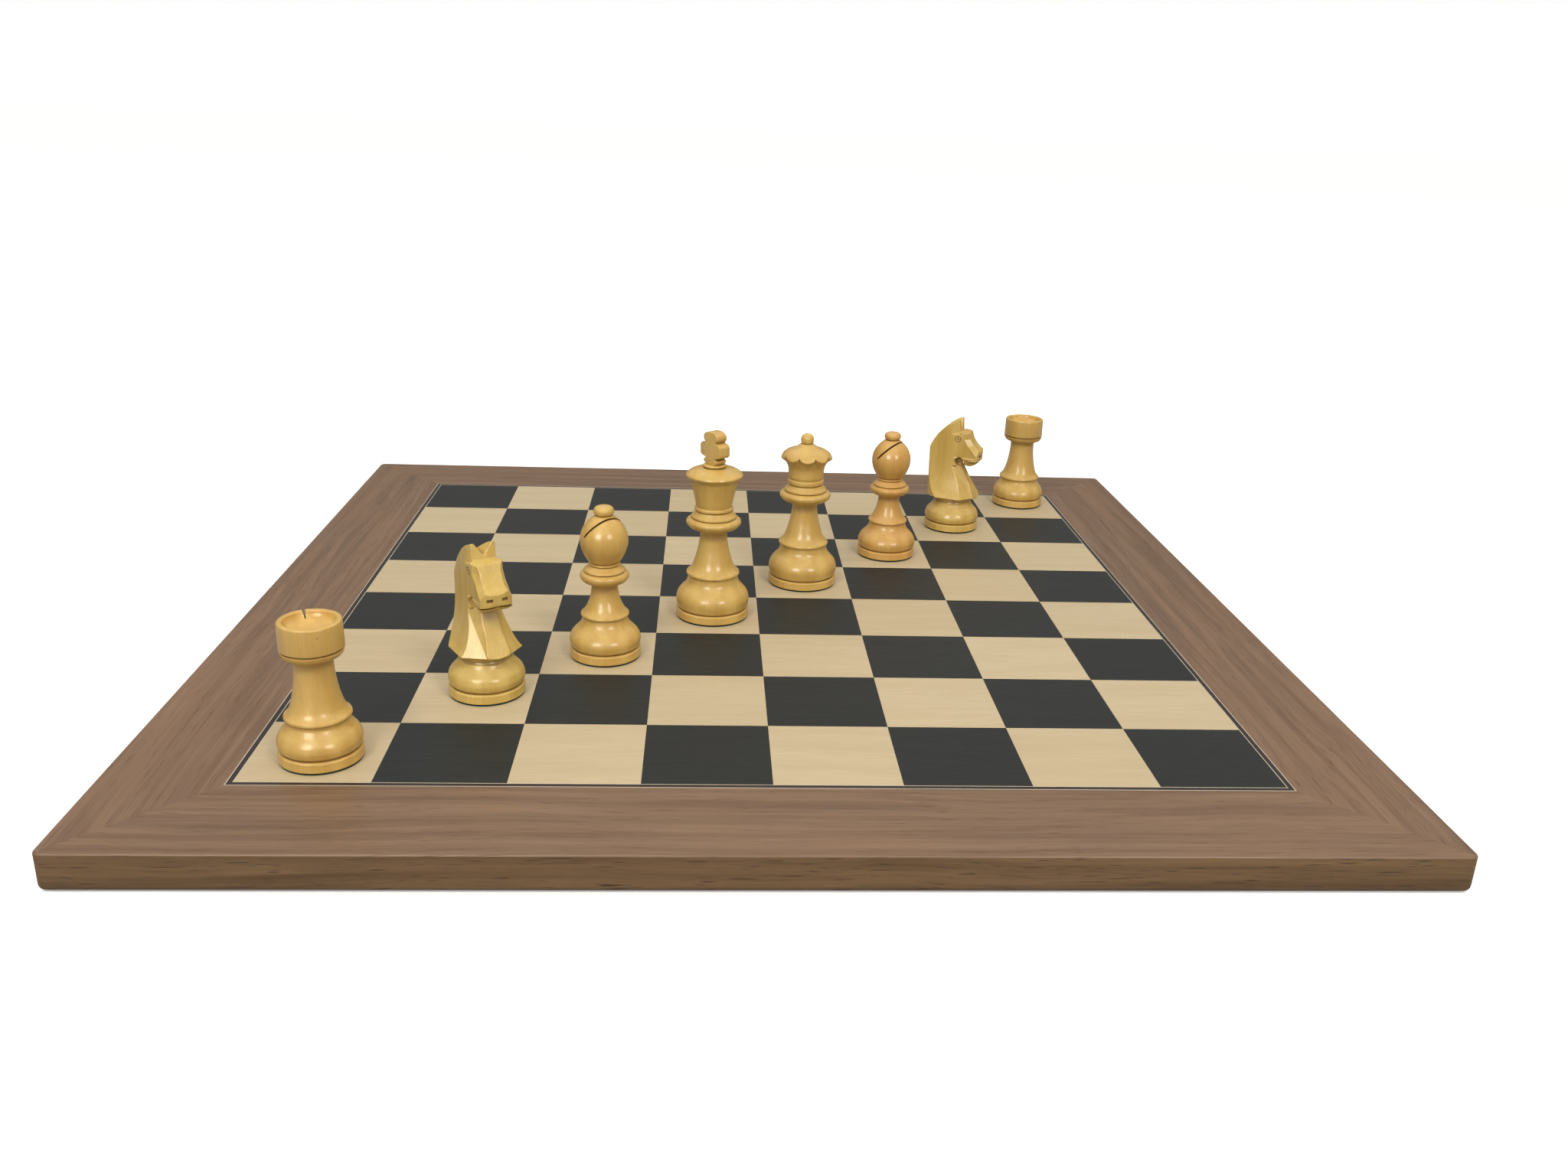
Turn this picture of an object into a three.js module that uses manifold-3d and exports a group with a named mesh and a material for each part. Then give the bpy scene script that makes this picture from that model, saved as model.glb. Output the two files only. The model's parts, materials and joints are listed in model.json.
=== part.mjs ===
// A wooden chess board with eight weighted and felted chessmen standing on it.
// Millimetres, +Z up. The origin is the centre of the board's underside, +X runs to the right
// along the near edge of the board and +Y runs away to the far edge.

import * as THREE from "three";
import { ConvexGeometry } from "three/addons/geometries/ConvexGeometry.js";
import { mergeVertices } from "three/addons/utils/BufferGeometryUtils.js";
import Module from "manifold-3d";

const wasm = await Module();
wasm.setup();

// ---- Driving dimensions of the board ----
const SQUARE = 50; // side of one square
const SQUARES = 8; // squares along one side of the field
const FIELD = SQUARES * SQUARE;
const BOARD = 10 * SQUARE; // the whole board is ten squares wide
const BOARD_HEIGHT = 15;
const VENEER = 0.6;
const INLAY = 2.7; // width of the banding round the field
const LIPPING = 8; // width of the solid walnut lipping round the core
const CORNER_RADIUS = 3; // upright corners of the board
const BOTTOM_ROUND = 2.5; // lower edge of the lipping
const TOP_ROUND = 0.5; // upper edge of the border veneer
const GLUE_LINE = 0.05; // half of the gap left in each mitre

// ---- Driving dimensions that all chessmen share ----
const FELT = 1; // thickness of the felt under each chessman
const DISC_TOP = 4.7; // top of the flat disc that the chessman stands on
const GAP = 0.3; // room round an inner piece
const DOWEL_RADIUS = 3; // pin between a knight's head and its base
const PEG_RADIUS = 2; // tenon under the king's cross
const PEG_LENGTH = 5;
const TURN_STEPS = 24; // facets round a turned piece
const CURVE_STEPS = 2; // facets along each curved stretch of an outline

// ---- Colours ----
const walnut = new THREE.MeshStandardMaterial({ color: 0x96755f, roughness: 0.45, metalness: 0 });
const walnutEdge = new THREE.MeshStandardMaterial({ color: 0x785c3e, roughness: 0.5, metalness: 0 });
const lightVeneer = new THREE.MeshStandardMaterial({ color: 0xd8c4a0, roughness: 0.4, metalness: 0 });
const darkVeneer = new THREE.MeshStandardMaterial({ color: 0x3e403e, roughness: 0.4, metalness: 0 });
const fibreboard = new THREE.MeshStandardMaterial({ color: 0xa98c66, roughness: 0.9, metalness: 0 });
const boxwood = new THREE.MeshStandardMaterial({ color: 0xc9a765, roughness: 0.35, metalness: 0 });
const beech = new THREE.MeshStandardMaterial({ color: 0xc8a27a, roughness: 0.7, metalness: 0 });
const greenFelt = new THREE.MeshStandardMaterial({ color: 0x0f3d1c, roughness: 1, metalness: 0 });
const castIron = new THREE.MeshStandardMaterial({ color: 0x4a4a4c, roughness: 0.7, metalness: 0.6 });

// ---- Helpers ----

// A closed geometry as a solid that can be joined and cut.
function solidOf(geometry) {
  const bare = geometry.clone();
  bare.deleteAttribute("normal");
  bare.deleteAttribute("uv");
  const merged = mergeVertices(bare, 1e-4);
  return new wasm.Manifold(
    new wasm.Mesh({
      numProp: 3,
      vertProperties: new Float32Array(merged.attributes.position.array),
      triVerts: new Uint32Array(merged.index.array),
    }),
  );
}

// A solid back as a geometry for a mesh.
function geometryOf(solid) {
  const { vertProperties, triVerts } = solid.getMesh();
  const geometry = new THREE.BufferGeometry();
  geometry.setAttribute("position", new THREE.BufferAttribute(vertProperties, 3));
  geometry.setIndex(new THREE.BufferAttribute(triVerts, 1));
  geometry.computeVertexNormals();
  return geometry;
}

function addMesh(group, name, geometry, material) {
  const mesh = new THREE.Mesh(geometry, material);
  mesh.name = name;
  group.add(mesh);
  return mesh;
}

// A box that stands on height `bottom`, centred on the Z axis.
function slab(width, depth, height, bottom) {
  return new THREE.BoxGeometry(width, depth, height).translate(0, 0, bottom + height / 2);
}

// A round piece that stands on height `bottom`.
function rod(radius, height, bottom, steps = TURN_STEPS) {
  return new THREE.CylinderGeometry(radius, radius, height, steps)
    .rotateX(Math.PI / 2)
    .translate(0, 0, bottom + height / 2);
}

// An outline of radius and height, turned about the Z axis as on a lathe.
function turned(outline) {
  return new THREE.LatheGeometry(outline.getPoints(CURVE_STEPS), TURN_STEPS).rotateX(Math.PI / 2);
}

// ---- The board ----

// A square plate with rounded upright corners and one rounded rim, at the bottom or at the top.
function roundedPlate(rim, bottom, top) {
  const half = BOARD / 2;
  const plan = new THREE.Shape();
  plan.moveTo(CORNER_RADIUS - half, -half);
  plan.absarc(half - CORNER_RADIUS, CORNER_RADIUS - half, CORNER_RADIUS, -Math.PI / 2, 0);
  plan.absarc(half - CORNER_RADIUS, half - CORNER_RADIUS, CORNER_RADIUS, 0, Math.PI / 2);
  plan.absarc(CORNER_RADIUS - half, half - CORNER_RADIUS, CORNER_RADIUS, Math.PI / 2, Math.PI);
  plan.absarc(CORNER_RADIUS - half, CORNER_RADIUS - half, CORNER_RADIUS, Math.PI, 1.5 * Math.PI);
  const plate = new THREE.ExtrudeGeometry(plan, {
    depth: top - bottom - 2 * rim,
    bevelThickness: rim,
    bevelSize: rim,
    bevelOffset: -rim,
    bevelSegments: 3,
    curveSegments: 2,
  });
  return solidOf(plate.translate(0, 0, bottom + rim));
}

// The outer form of the whole board: the lower rim is rounded more than the upper one.
function boardForm() {
  const lower = roundedPlate(BOTTOM_ROUND, 0, 2 * BOARD_HEIGHT);
  const upper = roundedPlate(TOP_ROUND, -BOARD_HEIGHT, BOARD_HEIGHT);
  return lower.intersect(upper);
}

// One straight strip of a mitred square frame, on side 0 (near), 1 (right), 2 (far) or 3 (left).
function mitredStrip(side, outer, inner, bottom, top) {
  const plan = new THREE.Shape();
  plan.moveTo(GLUE_LINE - outer, -outer);
  plan.lineTo(outer - GLUE_LINE, -outer);
  plan.lineTo(inner - GLUE_LINE, -inner);
  plan.lineTo(GLUE_LINE - inner, -inner);
  return new THREE.ExtrudeGeometry(plan, { depth: top - bottom, bevelEnabled: false })
    .translate(0, 0, bottom)
    .rotateZ((side * Math.PI) / 2);
}

// The core with its backing veneer, the lipping, the border, the banding and the field.
function buildBoard() {
  const board = new THREE.Group();
  const form = boardForm();
  const half = BOARD / 2;
  const core = BOARD - 2 * LIPPING;
  const veneerBottom = BOARD_HEIGHT - VENEER;
  const sides = ["front", "right", "back", "left"];

  addMesh(board, "base_veneer", slab(core, core, VENEER, 0), walnut);
  addMesh(board, "core_panel", slab(core, core, BOARD_HEIGHT - 2 * VENEER, VENEER), fibreboard);

  sides.forEach((place, side) => {
    const lipping = solidOf(mitredStrip(side, half, core / 2, 0, veneerBottom)).intersect(form);
    addMesh(board, "lipping_" + place, geometryOf(lipping), walnutEdge);
    const borderStrip = mitredStrip(side, half, FIELD / 2 + INLAY, veneerBottom, BOARD_HEIGHT);
    addMesh(board, "border_" + place, geometryOf(solidOf(borderStrip).intersect(form)), walnut);
    const banding = mitredStrip(side, FIELD / 2 + INLAY, FIELD / 2, veneerBottom, BOARD_HEIGHT);
    addMesh(board, "banding_" + place, banding, darkVeneer);
  });

  for (let rank = 1; rank <= SQUARES; rank++) {
    const strip = slab(FIELD, SQUARE, VENEER, veneerBottom);
    strip.translate(0, (rank - 0.5) * SQUARE - FIELD / 2, 0);
    addMesh(board, "rank_strip_" + rank, strip, rank % 2 ? lightVeneer : darkVeneer);
  }
  return board;
}

// ---- The chessmen ----
// Heights run up from the underside of the felt. Each size of foot has the radius of its disc,
// the shoulder where the bulge ends, the neck above it, and the iron weight inside it.
const BIG_FOOT = { radius: 18, shoulder: [16.2, 14.2], neck: [12.4, 20], weight: [11, 11] };
const BISHOP_FOOT = { radius: 16.2, shoulder: [14.5, 12.8], neck: [10.3, 18], weight: [9, 9] };
const ROOK_FOOT = { radius: 15.9, shoulder: [14.6, 12], neck: [11.8, 16], weight: [9.5, 8] };
const KNIGHT_FOOT = { radius: 16.2, shoulder: [14.9, 12], neck: [11.3, 16.2], weight: [9.5, 7] };

function cavityTop(foot) {
  return FELT + foot.weight[1] + GAP;
}

// The outline from inside the weight's cavity, round the disc and the bulge, up to the neck.
function footOutline(foot, innerRadius) {
  const { radius, shoulder, neck, weight } = foot;
  const outline = new THREE.Path();
  outline.moveTo(innerRadius, cavityTop(foot));
  outline.lineTo(weight[0] + GAP, cavityTop(foot));
  outline.lineTo(weight[0] + GAP, FELT);
  outline.lineTo(radius, FELT);
  outline.lineTo(radius, DISC_TOP - 0.4);
  outline.lineTo(radius - 0.7, DISC_TOP);
  outline.quadraticCurveTo(radius + 1.6, shoulder[1] - 4.6, ...shoulder);
  outline.quadraticCurveTo(neck[0] + 0.6, shoulder[1] + 3, ...neck);
  return outline;
}

// The king and the queen share their thin lower collar, their stem and their wide upper collar.
function royalStem(outline) {
  outline.lineTo(12.3, 21.9);
  outline.lineTo(13, 22.3);
  outline.lineTo(13, 23.3);
  outline.quadraticCurveTo(10.9, 24.6, 10.3, 26.6);
  outline.quadraticCurveTo(7.8, 33, 6.6, 43.8);
  outline.quadraticCurveTo(7, 45.6, 11, 46.2);
  outline.quadraticCurveTo(15, 48.6, 12, 51);
  outline.lineTo(10.8, 51.2);
  outline.lineTo(10.6, 52.5);
  outline.lineTo(9, 54.2);
}

function kingOutline() {
  const outline = footOutline(BIG_FOOT, 0);
  royalStem(outline);
  outline.quadraticCurveTo(10, 55.6, 8.7, 56.8);
  outline.quadraticCurveTo(9.8, 61, 11.6, 69.8);
  outline.lineTo(13.6, 72);
  outline.lineTo(13.7, 73);
  outline.quadraticCurveTo(11, 76, 4.8, 76.6);
  outline.lineTo(5.4, 77.2);
  outline.lineTo(5.2, 78);
  outline.lineTo(PEG_RADIUS + GAP, 78);
  outline.lineTo(PEG_RADIUS + GAP, 78 - PEG_LENGTH - GAP);
  outline.lineTo(0, 78 - PEG_LENGTH - GAP);
  return outline;
}

// A chunky cross with short arms, and a round tenon below it.
function crossSolid() {
  const bottom = 78;
  const thickness = 6.4;
  const right = [
    [3.6, 0],
    [5.1, 1.6],
    [4.1, 3.3],
    [6.6, 4],
    [7.3, 4.8],
    [7.3, 9.6],
    [6.6, 10.3],
    [4.1, 11],
    [5.3, 12.3],
    [5.1, 13.9],
    [3.2, 15.6],
  ];
  const left = right.map(([x, z]) => [-x, z]).reverse();
  const outline = [...right, [0, 16], ...left].map(([x, z]) => new THREE.Vector2(x, z));
  const blade = new THREE.ExtrudeGeometry(new THREE.Shape(outline), { depth: thickness, bevelEnabled: false });
  blade.translate(0, 0, -thickness / 2).rotateX(Math.PI / 2).translate(0, 0, bottom);
  const tenon = rod(PEG_RADIUS, PEG_LENGTH + 1, bottom - PEG_LENGTH, 12);
  return solidOf(blade).add(solidOf(tenon));
}

function queenOutline() {
  const ball = { height: 78.6, radius: 3.3, start: -0.9 };
  const outline = footOutline(BIG_FOOT, 0);
  royalStem(outline);
  outline.quadraticCurveTo(10.6, 56.4, 9.1, 58);
  outline.quadraticCurveTo(9.2, 63.5, 11, 67);
  outline.lineTo(13.3, 69.1);
  outline.lineTo(12.5, 70.9);
  outline.quadraticCurveTo(10.6, 73.4, 7, 74.2);
  outline.lineTo(3.4, 76);
  outline.absarc(0, ball.height, ball.radius, ball.start, Math.PI / 2);
  return outline;
}

// The queen's crown has a ring of short notches cut up into its rim.
function queenSolid() {
  const NOTCHES = 9;
  let queen = solidOf(turned(queenOutline()));
  for (let notch = 0; notch < NOTCHES; notch++) {
    const cutter = new THREE.CylinderGeometry(0.9, 0.9, 6, 6);
    cutter.rotateZ(Math.PI / 2 - 0.5).translate(13.6, 0, 68.9);
    cutter.rotateZ((notch * 2 * Math.PI) / NOTCHES);
    queen = queen.subtract(solidOf(cutter));
  }
  return queen;
}

function bishopOutline() {
  const outline = footOutline(BISHOP_FOOT, 0);
  outline.lineTo(10.1, 19.8);
  outline.lineTo(10.8, 20.2);
  outline.lineTo(10.8, 21.1);
  outline.quadraticCurveTo(9, 22.4, 8.4, 24.3);
  outline.quadraticCurveTo(6.2, 28, 5.7, 34.8);
  outline.quadraticCurveTo(6, 35.8, 9, 36.2);
  outline.quadraticCurveTo(12.6, 38.8, 10, 41.4);
  outline.lineTo(8.7, 42.2);
  outline.lineTo(6.8, 44);
  outline.lineTo(6.7, 45.6);
  outline.bezierCurveTo(9.9, 48, 11.5, 52.4, 10.7, 56.5);
  outline.bezierCurveTo(10.2, 60.5, 7.4, 64.6, 3.5, 67.5);
  outline.absellipse(0, 69.7, 4.5, 2.2, -0.8, Math.PI / 2);
  return outline;
}

// The saw cut that slopes into one side of a bishop's head. It ends at the axis or past it. The
// height is where its plane meets the axis, and the slope is in degrees.
const SAW_CUTS = {
  bishop_1: { slope: 57, height: 59.2, pastAxis: 0 },
  bishop_2: { slope: 41, height: 61, pastAxis: 4.2 },
};

function bishopSolid({ slope, height, pastAxis }) {
  const [width, reach, kerf] = [30, 20, 1];
  const cutter = new THREE.BoxGeometry(width, reach, kerf).translate(0, pastAxis - reach / 2, 0);
  cutter.rotateX(THREE.MathUtils.degToRad(-slope)).translate(0, 0, height);
  return solidOf(turned(bishopOutline())).subtract(solidOf(cutter));
}

function rookOutline() {
  const outline = footOutline(ROOK_FOOT, 0);
  outline.lineTo(11.7, 17.6);
  outline.lineTo(12.5, 18);
  outline.lineTo(12.5, 19);
  outline.quadraticCurveTo(10.8, 20.4, 10.2, 22.4);
  outline.quadraticCurveTo(7.8, 28, 7.2, 41);
  outline.lineTo(9, 42.4);
  outline.quadraticCurveTo(11.6, 43.4, 11.7, 45.5);
  outline.lineTo(11.2, 46);
  outline.lineTo(11.9, 46.5);
  outline.lineTo(11.7, 56.4);
  outline.lineTo(11.1, 57);
  outline.lineTo(9.8, 57);
  outline.quadraticCurveTo(8.8, 53.4, 0, 53);
  return outline;
}

const KNIGHT_SEAT = 20.8; // height where a knight's head sits on its base

function knightBaseOutline() {
  const outline = footOutline(KNIGHT_FOOT, DOWEL_RADIUS + GAP);
  outline.lineTo(10.9, 18.2);
  outline.quadraticCurveTo(12.4, 19.6, 11.2, KNIGHT_SEAT);
  outline.lineTo(DOWEL_RADIUS + GAP, KNIGHT_SEAT);
  outline.closePath();
  return outline;
}

// The knight's head seen from its side: +X is where it looks.
function knightSideOutline() {
  const side = new THREE.Shape();
  side.moveTo(-14.5, KNIGHT_SEAT);
  side.lineTo(-16.1, 30);
  side.quadraticCurveTo(-17, 47, -12.6, 55);
  side.quadraticCurveTo(-8.5, 63.4, -0.6, 67.2);
  side.lineTo(2.1, 68);
  side.lineTo(2.7, 61);
  side.lineTo(8, 60.3);
  side.lineTo(9.2, 54.6);
  side.lineTo(15.4, 50.6);
  side.quadraticCurveTo(17.2, 44.6, 12.6, 41.6);
  side.quadraticCurveTo(8.6, 39.8, 5.4, 42.4);
  side.lineTo(4.2, 42.2);
  side.quadraticCurveTo(9, 31.6, 15.6, KNIGHT_SEAT);
  return side;
}

// Half of the head's thickness at each height: the neck flares out at its foot.
const HEAD_HALF_WIDTHS = [
  [13.8, KNIGHT_SEAT],
  [12, 23.2],
  [10.2, 26.9],
  [8.7, 31],
  [7.5, 36],
  [6.9, 42],
  [6.8, 60],
  [6, 69],
];

function knightFrontOutline() {
  const left = HEAD_HALF_WIDTHS.map(([y, z]) => [-y, z]).reverse();
  return new THREE.Shape([...HEAD_HALF_WIDTHS, ...left].map(([y, z]) => new THREE.Vector2(y, z)));
}

// A chisel cut takes away the convex block round its corners. `hand` is 1 for one side of the
// head and -1 for its mirror image.
function chisel(corners, hand = 1) {
  return solidOf(new ConvexGeometry(corners.map(([x, y, z]) => new THREE.Vector3(x, hand * y, z))));
}

// The cuts made alike on both sides of the head.
const CHEST_CUT = [
  [15.2, 4.7, KNIGHT_SEAT - 1],
  [7.9, 14, KNIGHT_SEAT - 1],
  [-0.6, 7.1, 40.2],
  [4.8, 2.8, 40.2],
  [22, 16, KNIGHT_SEAT - 1],
  [22, 16, 40.2],
];
const FACE_CUT = [
  [4.4, 6.9, 60.6],
  [8.4, 6.9, 54.2],
  [14.4, 6.9, 48.6],
  [8.4, 3.9, 60.6],
  [9.8, 3.6, 54.4],
  [16.4, 4.6, 49.6],
  [17, 9, 61],
];
const THROAT_CUT = [
  [0.9, 9, 41.4],
  [0.9, 3, 41.4],
  [2.4, 9, 44.6],
  [2.4, 3, 44.6],
  [5.4, 9, 45.2],
  [5.4, 3, 45.2],
  [7, 9, 42.6],
  [7, 3, 42.6],
];
const EAR_CUT = [
  [-2.6, 6.9, 59.2],
  [-2.6, 6.9, 70],
  [3.4, 4.8, 60.6],
  [3.4, 4.6, 70],
  [3.4, 9, 59.2],
  [3.4, 9, 70],
];
// The notch between the ears runs right through from the forehead to the mane.
const EAR_NOTCH = [
  [-20, 0, 62.4],
  [5, 0, 62.4],
  [-20, 5.4, 70],
  [5, 5.4, 70],
  [-20, -5.4, 70],
  [5, -5.4, 70],
];

function knightHeadSolid() {
  const reach = 18; // more than the head's largest radius
  const plain = { depth: 2 * reach, bevelEnabled: false, curveSegments: 4 };
  const side = new THREE.ExtrudeGeometry(knightSideOutline(), plain);
  side.translate(0, 0, -reach).rotateX(Math.PI / 2);
  const front = new THREE.ExtrudeGeometry(knightFrontOutline(), plain);
  front.translate(0, 0, -reach).rotateX(Math.PI / 2).rotateZ(Math.PI / 2);
  const blank = solidOf(rod(16.2, 50, KNIGHT_SEAT));
  let head = solidOf(side).intersect(solidOf(front)).intersect(blank).subtract(chisel(EAR_NOTCH));
  for (const hand of [-1, 1]) {
    for (const cut of [CHEST_CUT, FACE_CUT, THROAT_CUT, EAR_CUT]) {
      head = head.subtract(chisel(cut, hand));
    }
  }
  const dowelHole = rod(DOWEL_RADIUS + GAP, 7 + GAP, KNIGHT_SEAT - 1, 16);
  return head.subtract(solidOf(dowelHole));
}

// A chessman on its square: files and ranks count from 1 at the near left corner, `shift` is how
// far it stands from the middle of the square, and `heading` turns it about its own axis.
const MEN = [
  { name: "rook_1", build: addRook, file: 1, rank: 1, shift: [1.7, -4.7], heading: 0 },
  { name: "knight_1", build: addKnight, file: 2, rank: 2, shift: [5.1, 6.6], heading: -59 },
  { name: "bishop_1", build: addBishop, file: 3, rank: 3, shift: [2.6, -1.7], heading: 40 },
  { name: "king", build: addKing, file: 4, rank: 4, shift: [2, 0.8], heading: -50 },
  { name: "queen", build: addQueen, file: 5, rank: 5, shift: [0.4, 1.3], heading: 8 },
  { name: "bishop_2", build: addBishop, file: 6, rank: 6, shift: [2.2, 0.5], heading: 50 },
  { name: "knight_2", build: addKnight, file: 7, rank: 7, shift: [-0.4, 5.3], heading: -25 },
  { name: "rook_2", build: addRook, file: 8, rank: 8, shift: [3, 8.9], heading: 0 },
];

// The iron weight and the felt that closes its cavity.
function addWeightAndFelt(man, name, foot) {
  const [weightRadius, weightHeight] = foot.weight;
  addMesh(man, name + "_weight", rod(weightRadius, weightHeight, FELT), castIron);
  addMesh(man, name + "_felt", rod(foot.radius - 0.4, FELT, 0), greenFelt);
}

function addRook(man, name) {
  addMesh(man, name + "_body", turned(rookOutline()), boxwood);
  addWeightAndFelt(man, name, ROOK_FOOT);
}

function addKnight(man, name) {
  const dowelBottom = cavityTop(KNIGHT_FOOT);
  addMesh(man, name + "_base", turned(knightBaseOutline()), boxwood);
  addMesh(man, name + "_head", geometryOf(knightHeadSolid()), boxwood);
  addMesh(man, name + "_dowel", rod(DOWEL_RADIUS, KNIGHT_SEAT + 6 - dowelBottom, dowelBottom, 16), beech);
  addWeightAndFelt(man, name, KNIGHT_FOOT);
}

function addBishop(man, name) {
  addMesh(man, name + "_body", geometryOf(bishopSolid(SAW_CUTS[name])), boxwood);
  addWeightAndFelt(man, name, BISHOP_FOOT);
}

function addKing(man, name) {
  addMesh(man, name + "_body", turned(kingOutline()), boxwood);
  addMesh(man, name + "_cross", geometryOf(crossSolid()), boxwood);
  addWeightAndFelt(man, name, BIG_FOOT);
}

function addQueen(man, name) {
  addMesh(man, name + "_body", geometryOf(queenSolid()), boxwood);
  addWeightAndFelt(man, name, BIG_FOOT);
}

// ---- The whole set ----
const chessSet = new THREE.Group();
chessSet.add(buildBoard());
for (const { name, build, file, rank, shift, heading } of MEN) {
  const man = new THREE.Group();
  build(man, name);
  const x = (file - 0.5) * SQUARE - FIELD / 2 + shift[0];
  const y = (rank - 0.5) * SQUARE - FIELD / 2 + shift[1];
  man.position.set(x, y, BOARD_HEIGHT);
  man.rotation.z = THREE.MathUtils.degToRad(heading);
  chessSet.add(man);
}

export default chessSet;
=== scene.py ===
# %% [markdown]
# # A walnut chess board with eight boxwood chessmen
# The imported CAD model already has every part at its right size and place, and it stays as it is.
# This script gives the parts their looks: finer shapes for what shows, and a procedural finish for
# everything. All lengths inside Blender are metres, so the outlines below, which a woodworker would
# give in millimetres, are multiplied by MM once, when a shape is put in its place.

# %% Load the frame
import json
import math

import bmesh
import bpy
from mathutils import Matrix, Vector
from mathutils.geometry import interpolate_bezier

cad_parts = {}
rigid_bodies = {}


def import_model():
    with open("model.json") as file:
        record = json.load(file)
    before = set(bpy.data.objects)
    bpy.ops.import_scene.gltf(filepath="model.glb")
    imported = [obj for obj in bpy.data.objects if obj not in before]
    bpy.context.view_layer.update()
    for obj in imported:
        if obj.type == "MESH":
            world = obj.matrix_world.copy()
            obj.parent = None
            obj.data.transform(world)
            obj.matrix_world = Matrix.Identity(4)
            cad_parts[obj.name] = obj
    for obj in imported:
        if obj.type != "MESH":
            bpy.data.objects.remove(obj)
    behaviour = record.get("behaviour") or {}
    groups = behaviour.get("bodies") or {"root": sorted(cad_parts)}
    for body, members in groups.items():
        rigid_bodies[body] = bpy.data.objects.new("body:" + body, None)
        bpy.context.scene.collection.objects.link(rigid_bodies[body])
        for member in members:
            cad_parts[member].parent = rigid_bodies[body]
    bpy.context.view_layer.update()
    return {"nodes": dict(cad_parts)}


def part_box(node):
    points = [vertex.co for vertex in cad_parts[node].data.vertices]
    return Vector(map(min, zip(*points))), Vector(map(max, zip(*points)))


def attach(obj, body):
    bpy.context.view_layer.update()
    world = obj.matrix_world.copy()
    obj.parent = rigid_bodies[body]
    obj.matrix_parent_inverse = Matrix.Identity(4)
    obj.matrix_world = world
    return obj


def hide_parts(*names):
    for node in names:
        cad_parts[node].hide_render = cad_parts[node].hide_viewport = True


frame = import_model()
MM = 0.001

# %% [markdown]
# ## The camera
# It looks over the near edge of the board from a little above, as a player does who sits down at
# it. A short lens close to the object gives the strong perspective. It could also be aimed with a
# Track To constraint, but three plain angles are easier to fine-tune.

# %% Place the camera
lens = bpy.data.cameras.new("studio_camera")
lens.lens = 30.146
lens.sensor_width = 36
camera = bpy.data.objects.new("studio_camera", lens)
camera.location = (-0.027545, -0.640386, 0.257791)
camera.rotation_euler = [math.radians(angle) for angle in (69.7208, -2.0216, -2.9938)]
bpy.context.scene.collection.objects.link(camera)
bpy.context.scene.camera = camera
bpy.context.scene.view_settings.view_transform = "Standard"
print("camera:", [round(place, 3) for place in camera.location])

# %% [markdown]
# ## Helpers for shader nodes
# A material is a small tree of nodes. Adding each node takes several lines of Python, so one short
# function makes a node, sets its options and joins its inputs. An input given as a socket is linked,
# and any other value is typed into the node.

# %% Node helpers
def add_node(tree, kind, inputs=None, **options):
    """One shader node: `inputs` maps a socket's name or number to a value or to another socket."""
    node = tree.nodes.new(kind)
    for option, value in options.items():
        setattr(node, option, value)
    for key, value in (inputs or {}).items():
        if isinstance(value, bpy.types.NodeSocket):
            tree.links.new(value, node.inputs[key])
        else:
            node.inputs[key].default_value = value
    return node


def math_node(tree, operation, first, second=0.0):
    """A sum, product or other calculation with two numbers."""
    return add_node(tree, "ShaderNodeMath", {0: first, 1: second}, operation=operation).outputs[0]


def spread(tree, value, low, high, new_low=0.0, new_high=1.0):
    """Stretches the range from low to high over a new range, with soft ends."""
    inputs = {"Value": value, "From Min": low, "From Max": high, "To Min": new_low, "To Max": new_high}
    return add_node(tree, "ShaderNodeMapRange", inputs, interpolation_type="SMOOTHSTEP").outputs[0]


def mix_colour(tree, factor, first, second, blend_type="MIX"):
    """Two colours laid over each other."""
    inputs = {"Factor": factor, 6: first, 7: second}
    return add_node(tree, "ShaderNodeMix", inputs, data_type="RGBA", blend_type=blend_type).outputs[2]


def noise(tree, coordinates, size, detail=2.0, roughness=0.5):
    """Cloudy noise whose blobs are about `size` metres, given as a vector or as a socket."""
    scaled = add_node(tree, "ShaderNodeVectorMath", {0: coordinates, 1: size}, operation="DIVIDE")
    inputs = {"Vector": scaled.outputs[0], "Scale": 1.0, "Detail": detail, "Roughness": roughness}
    return add_node(tree, "ShaderNodeTexNoise", inputs).outputs[0]


def colour(red, green, blue):
    """A colour from 0 to 255 per channel, as a paint chart gives it, made linear for the shader."""
    channels = [value / 255 for value in (red, green, blue)]
    return [c / 12.92 if c < 0.04045 else ((c + 0.055) / 1.055) ** 2.4 for c in channels] + [1.0]


def new_group(name, inputs, outputs):
    """An empty node group with named sockets: its tree, its input node and its output node."""
    tree = bpy.data.node_groups.new(name, "ShaderNodeTree")
    for label, kind in inputs.items():
        tree.interface.new_socket(name=label, in_out="INPUT", socket_type="NodeSocket" + kind)
    for label, kind in outputs.items():
        tree.interface.new_socket(name=label, in_out="OUTPUT", socket_type="NodeSocket" + kind)
    return tree, tree.nodes.new("NodeGroupInput"), tree.nodes.new("NodeGroupOutput")


def use_group(tree, group, inputs):
    """A node group placed in a material with its own values: its outputs."""
    return add_node(tree, "ShaderNodeGroup", inputs, node_tree=group).outputs


print("node helpers ready")

# %% [markdown]
# ## Wood grain, once for every wood
# All woods here show the same three things at different sizes: broad soft bands of tone, fine
# streaks along the grain, and short dark pores. Each is a noise that is stretched along X. Noise is
# chosen over the Wave texture, because waves repeat and real veneer doesn't. The group is built
# once, and each wood feeds it its own three sizes.

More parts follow.
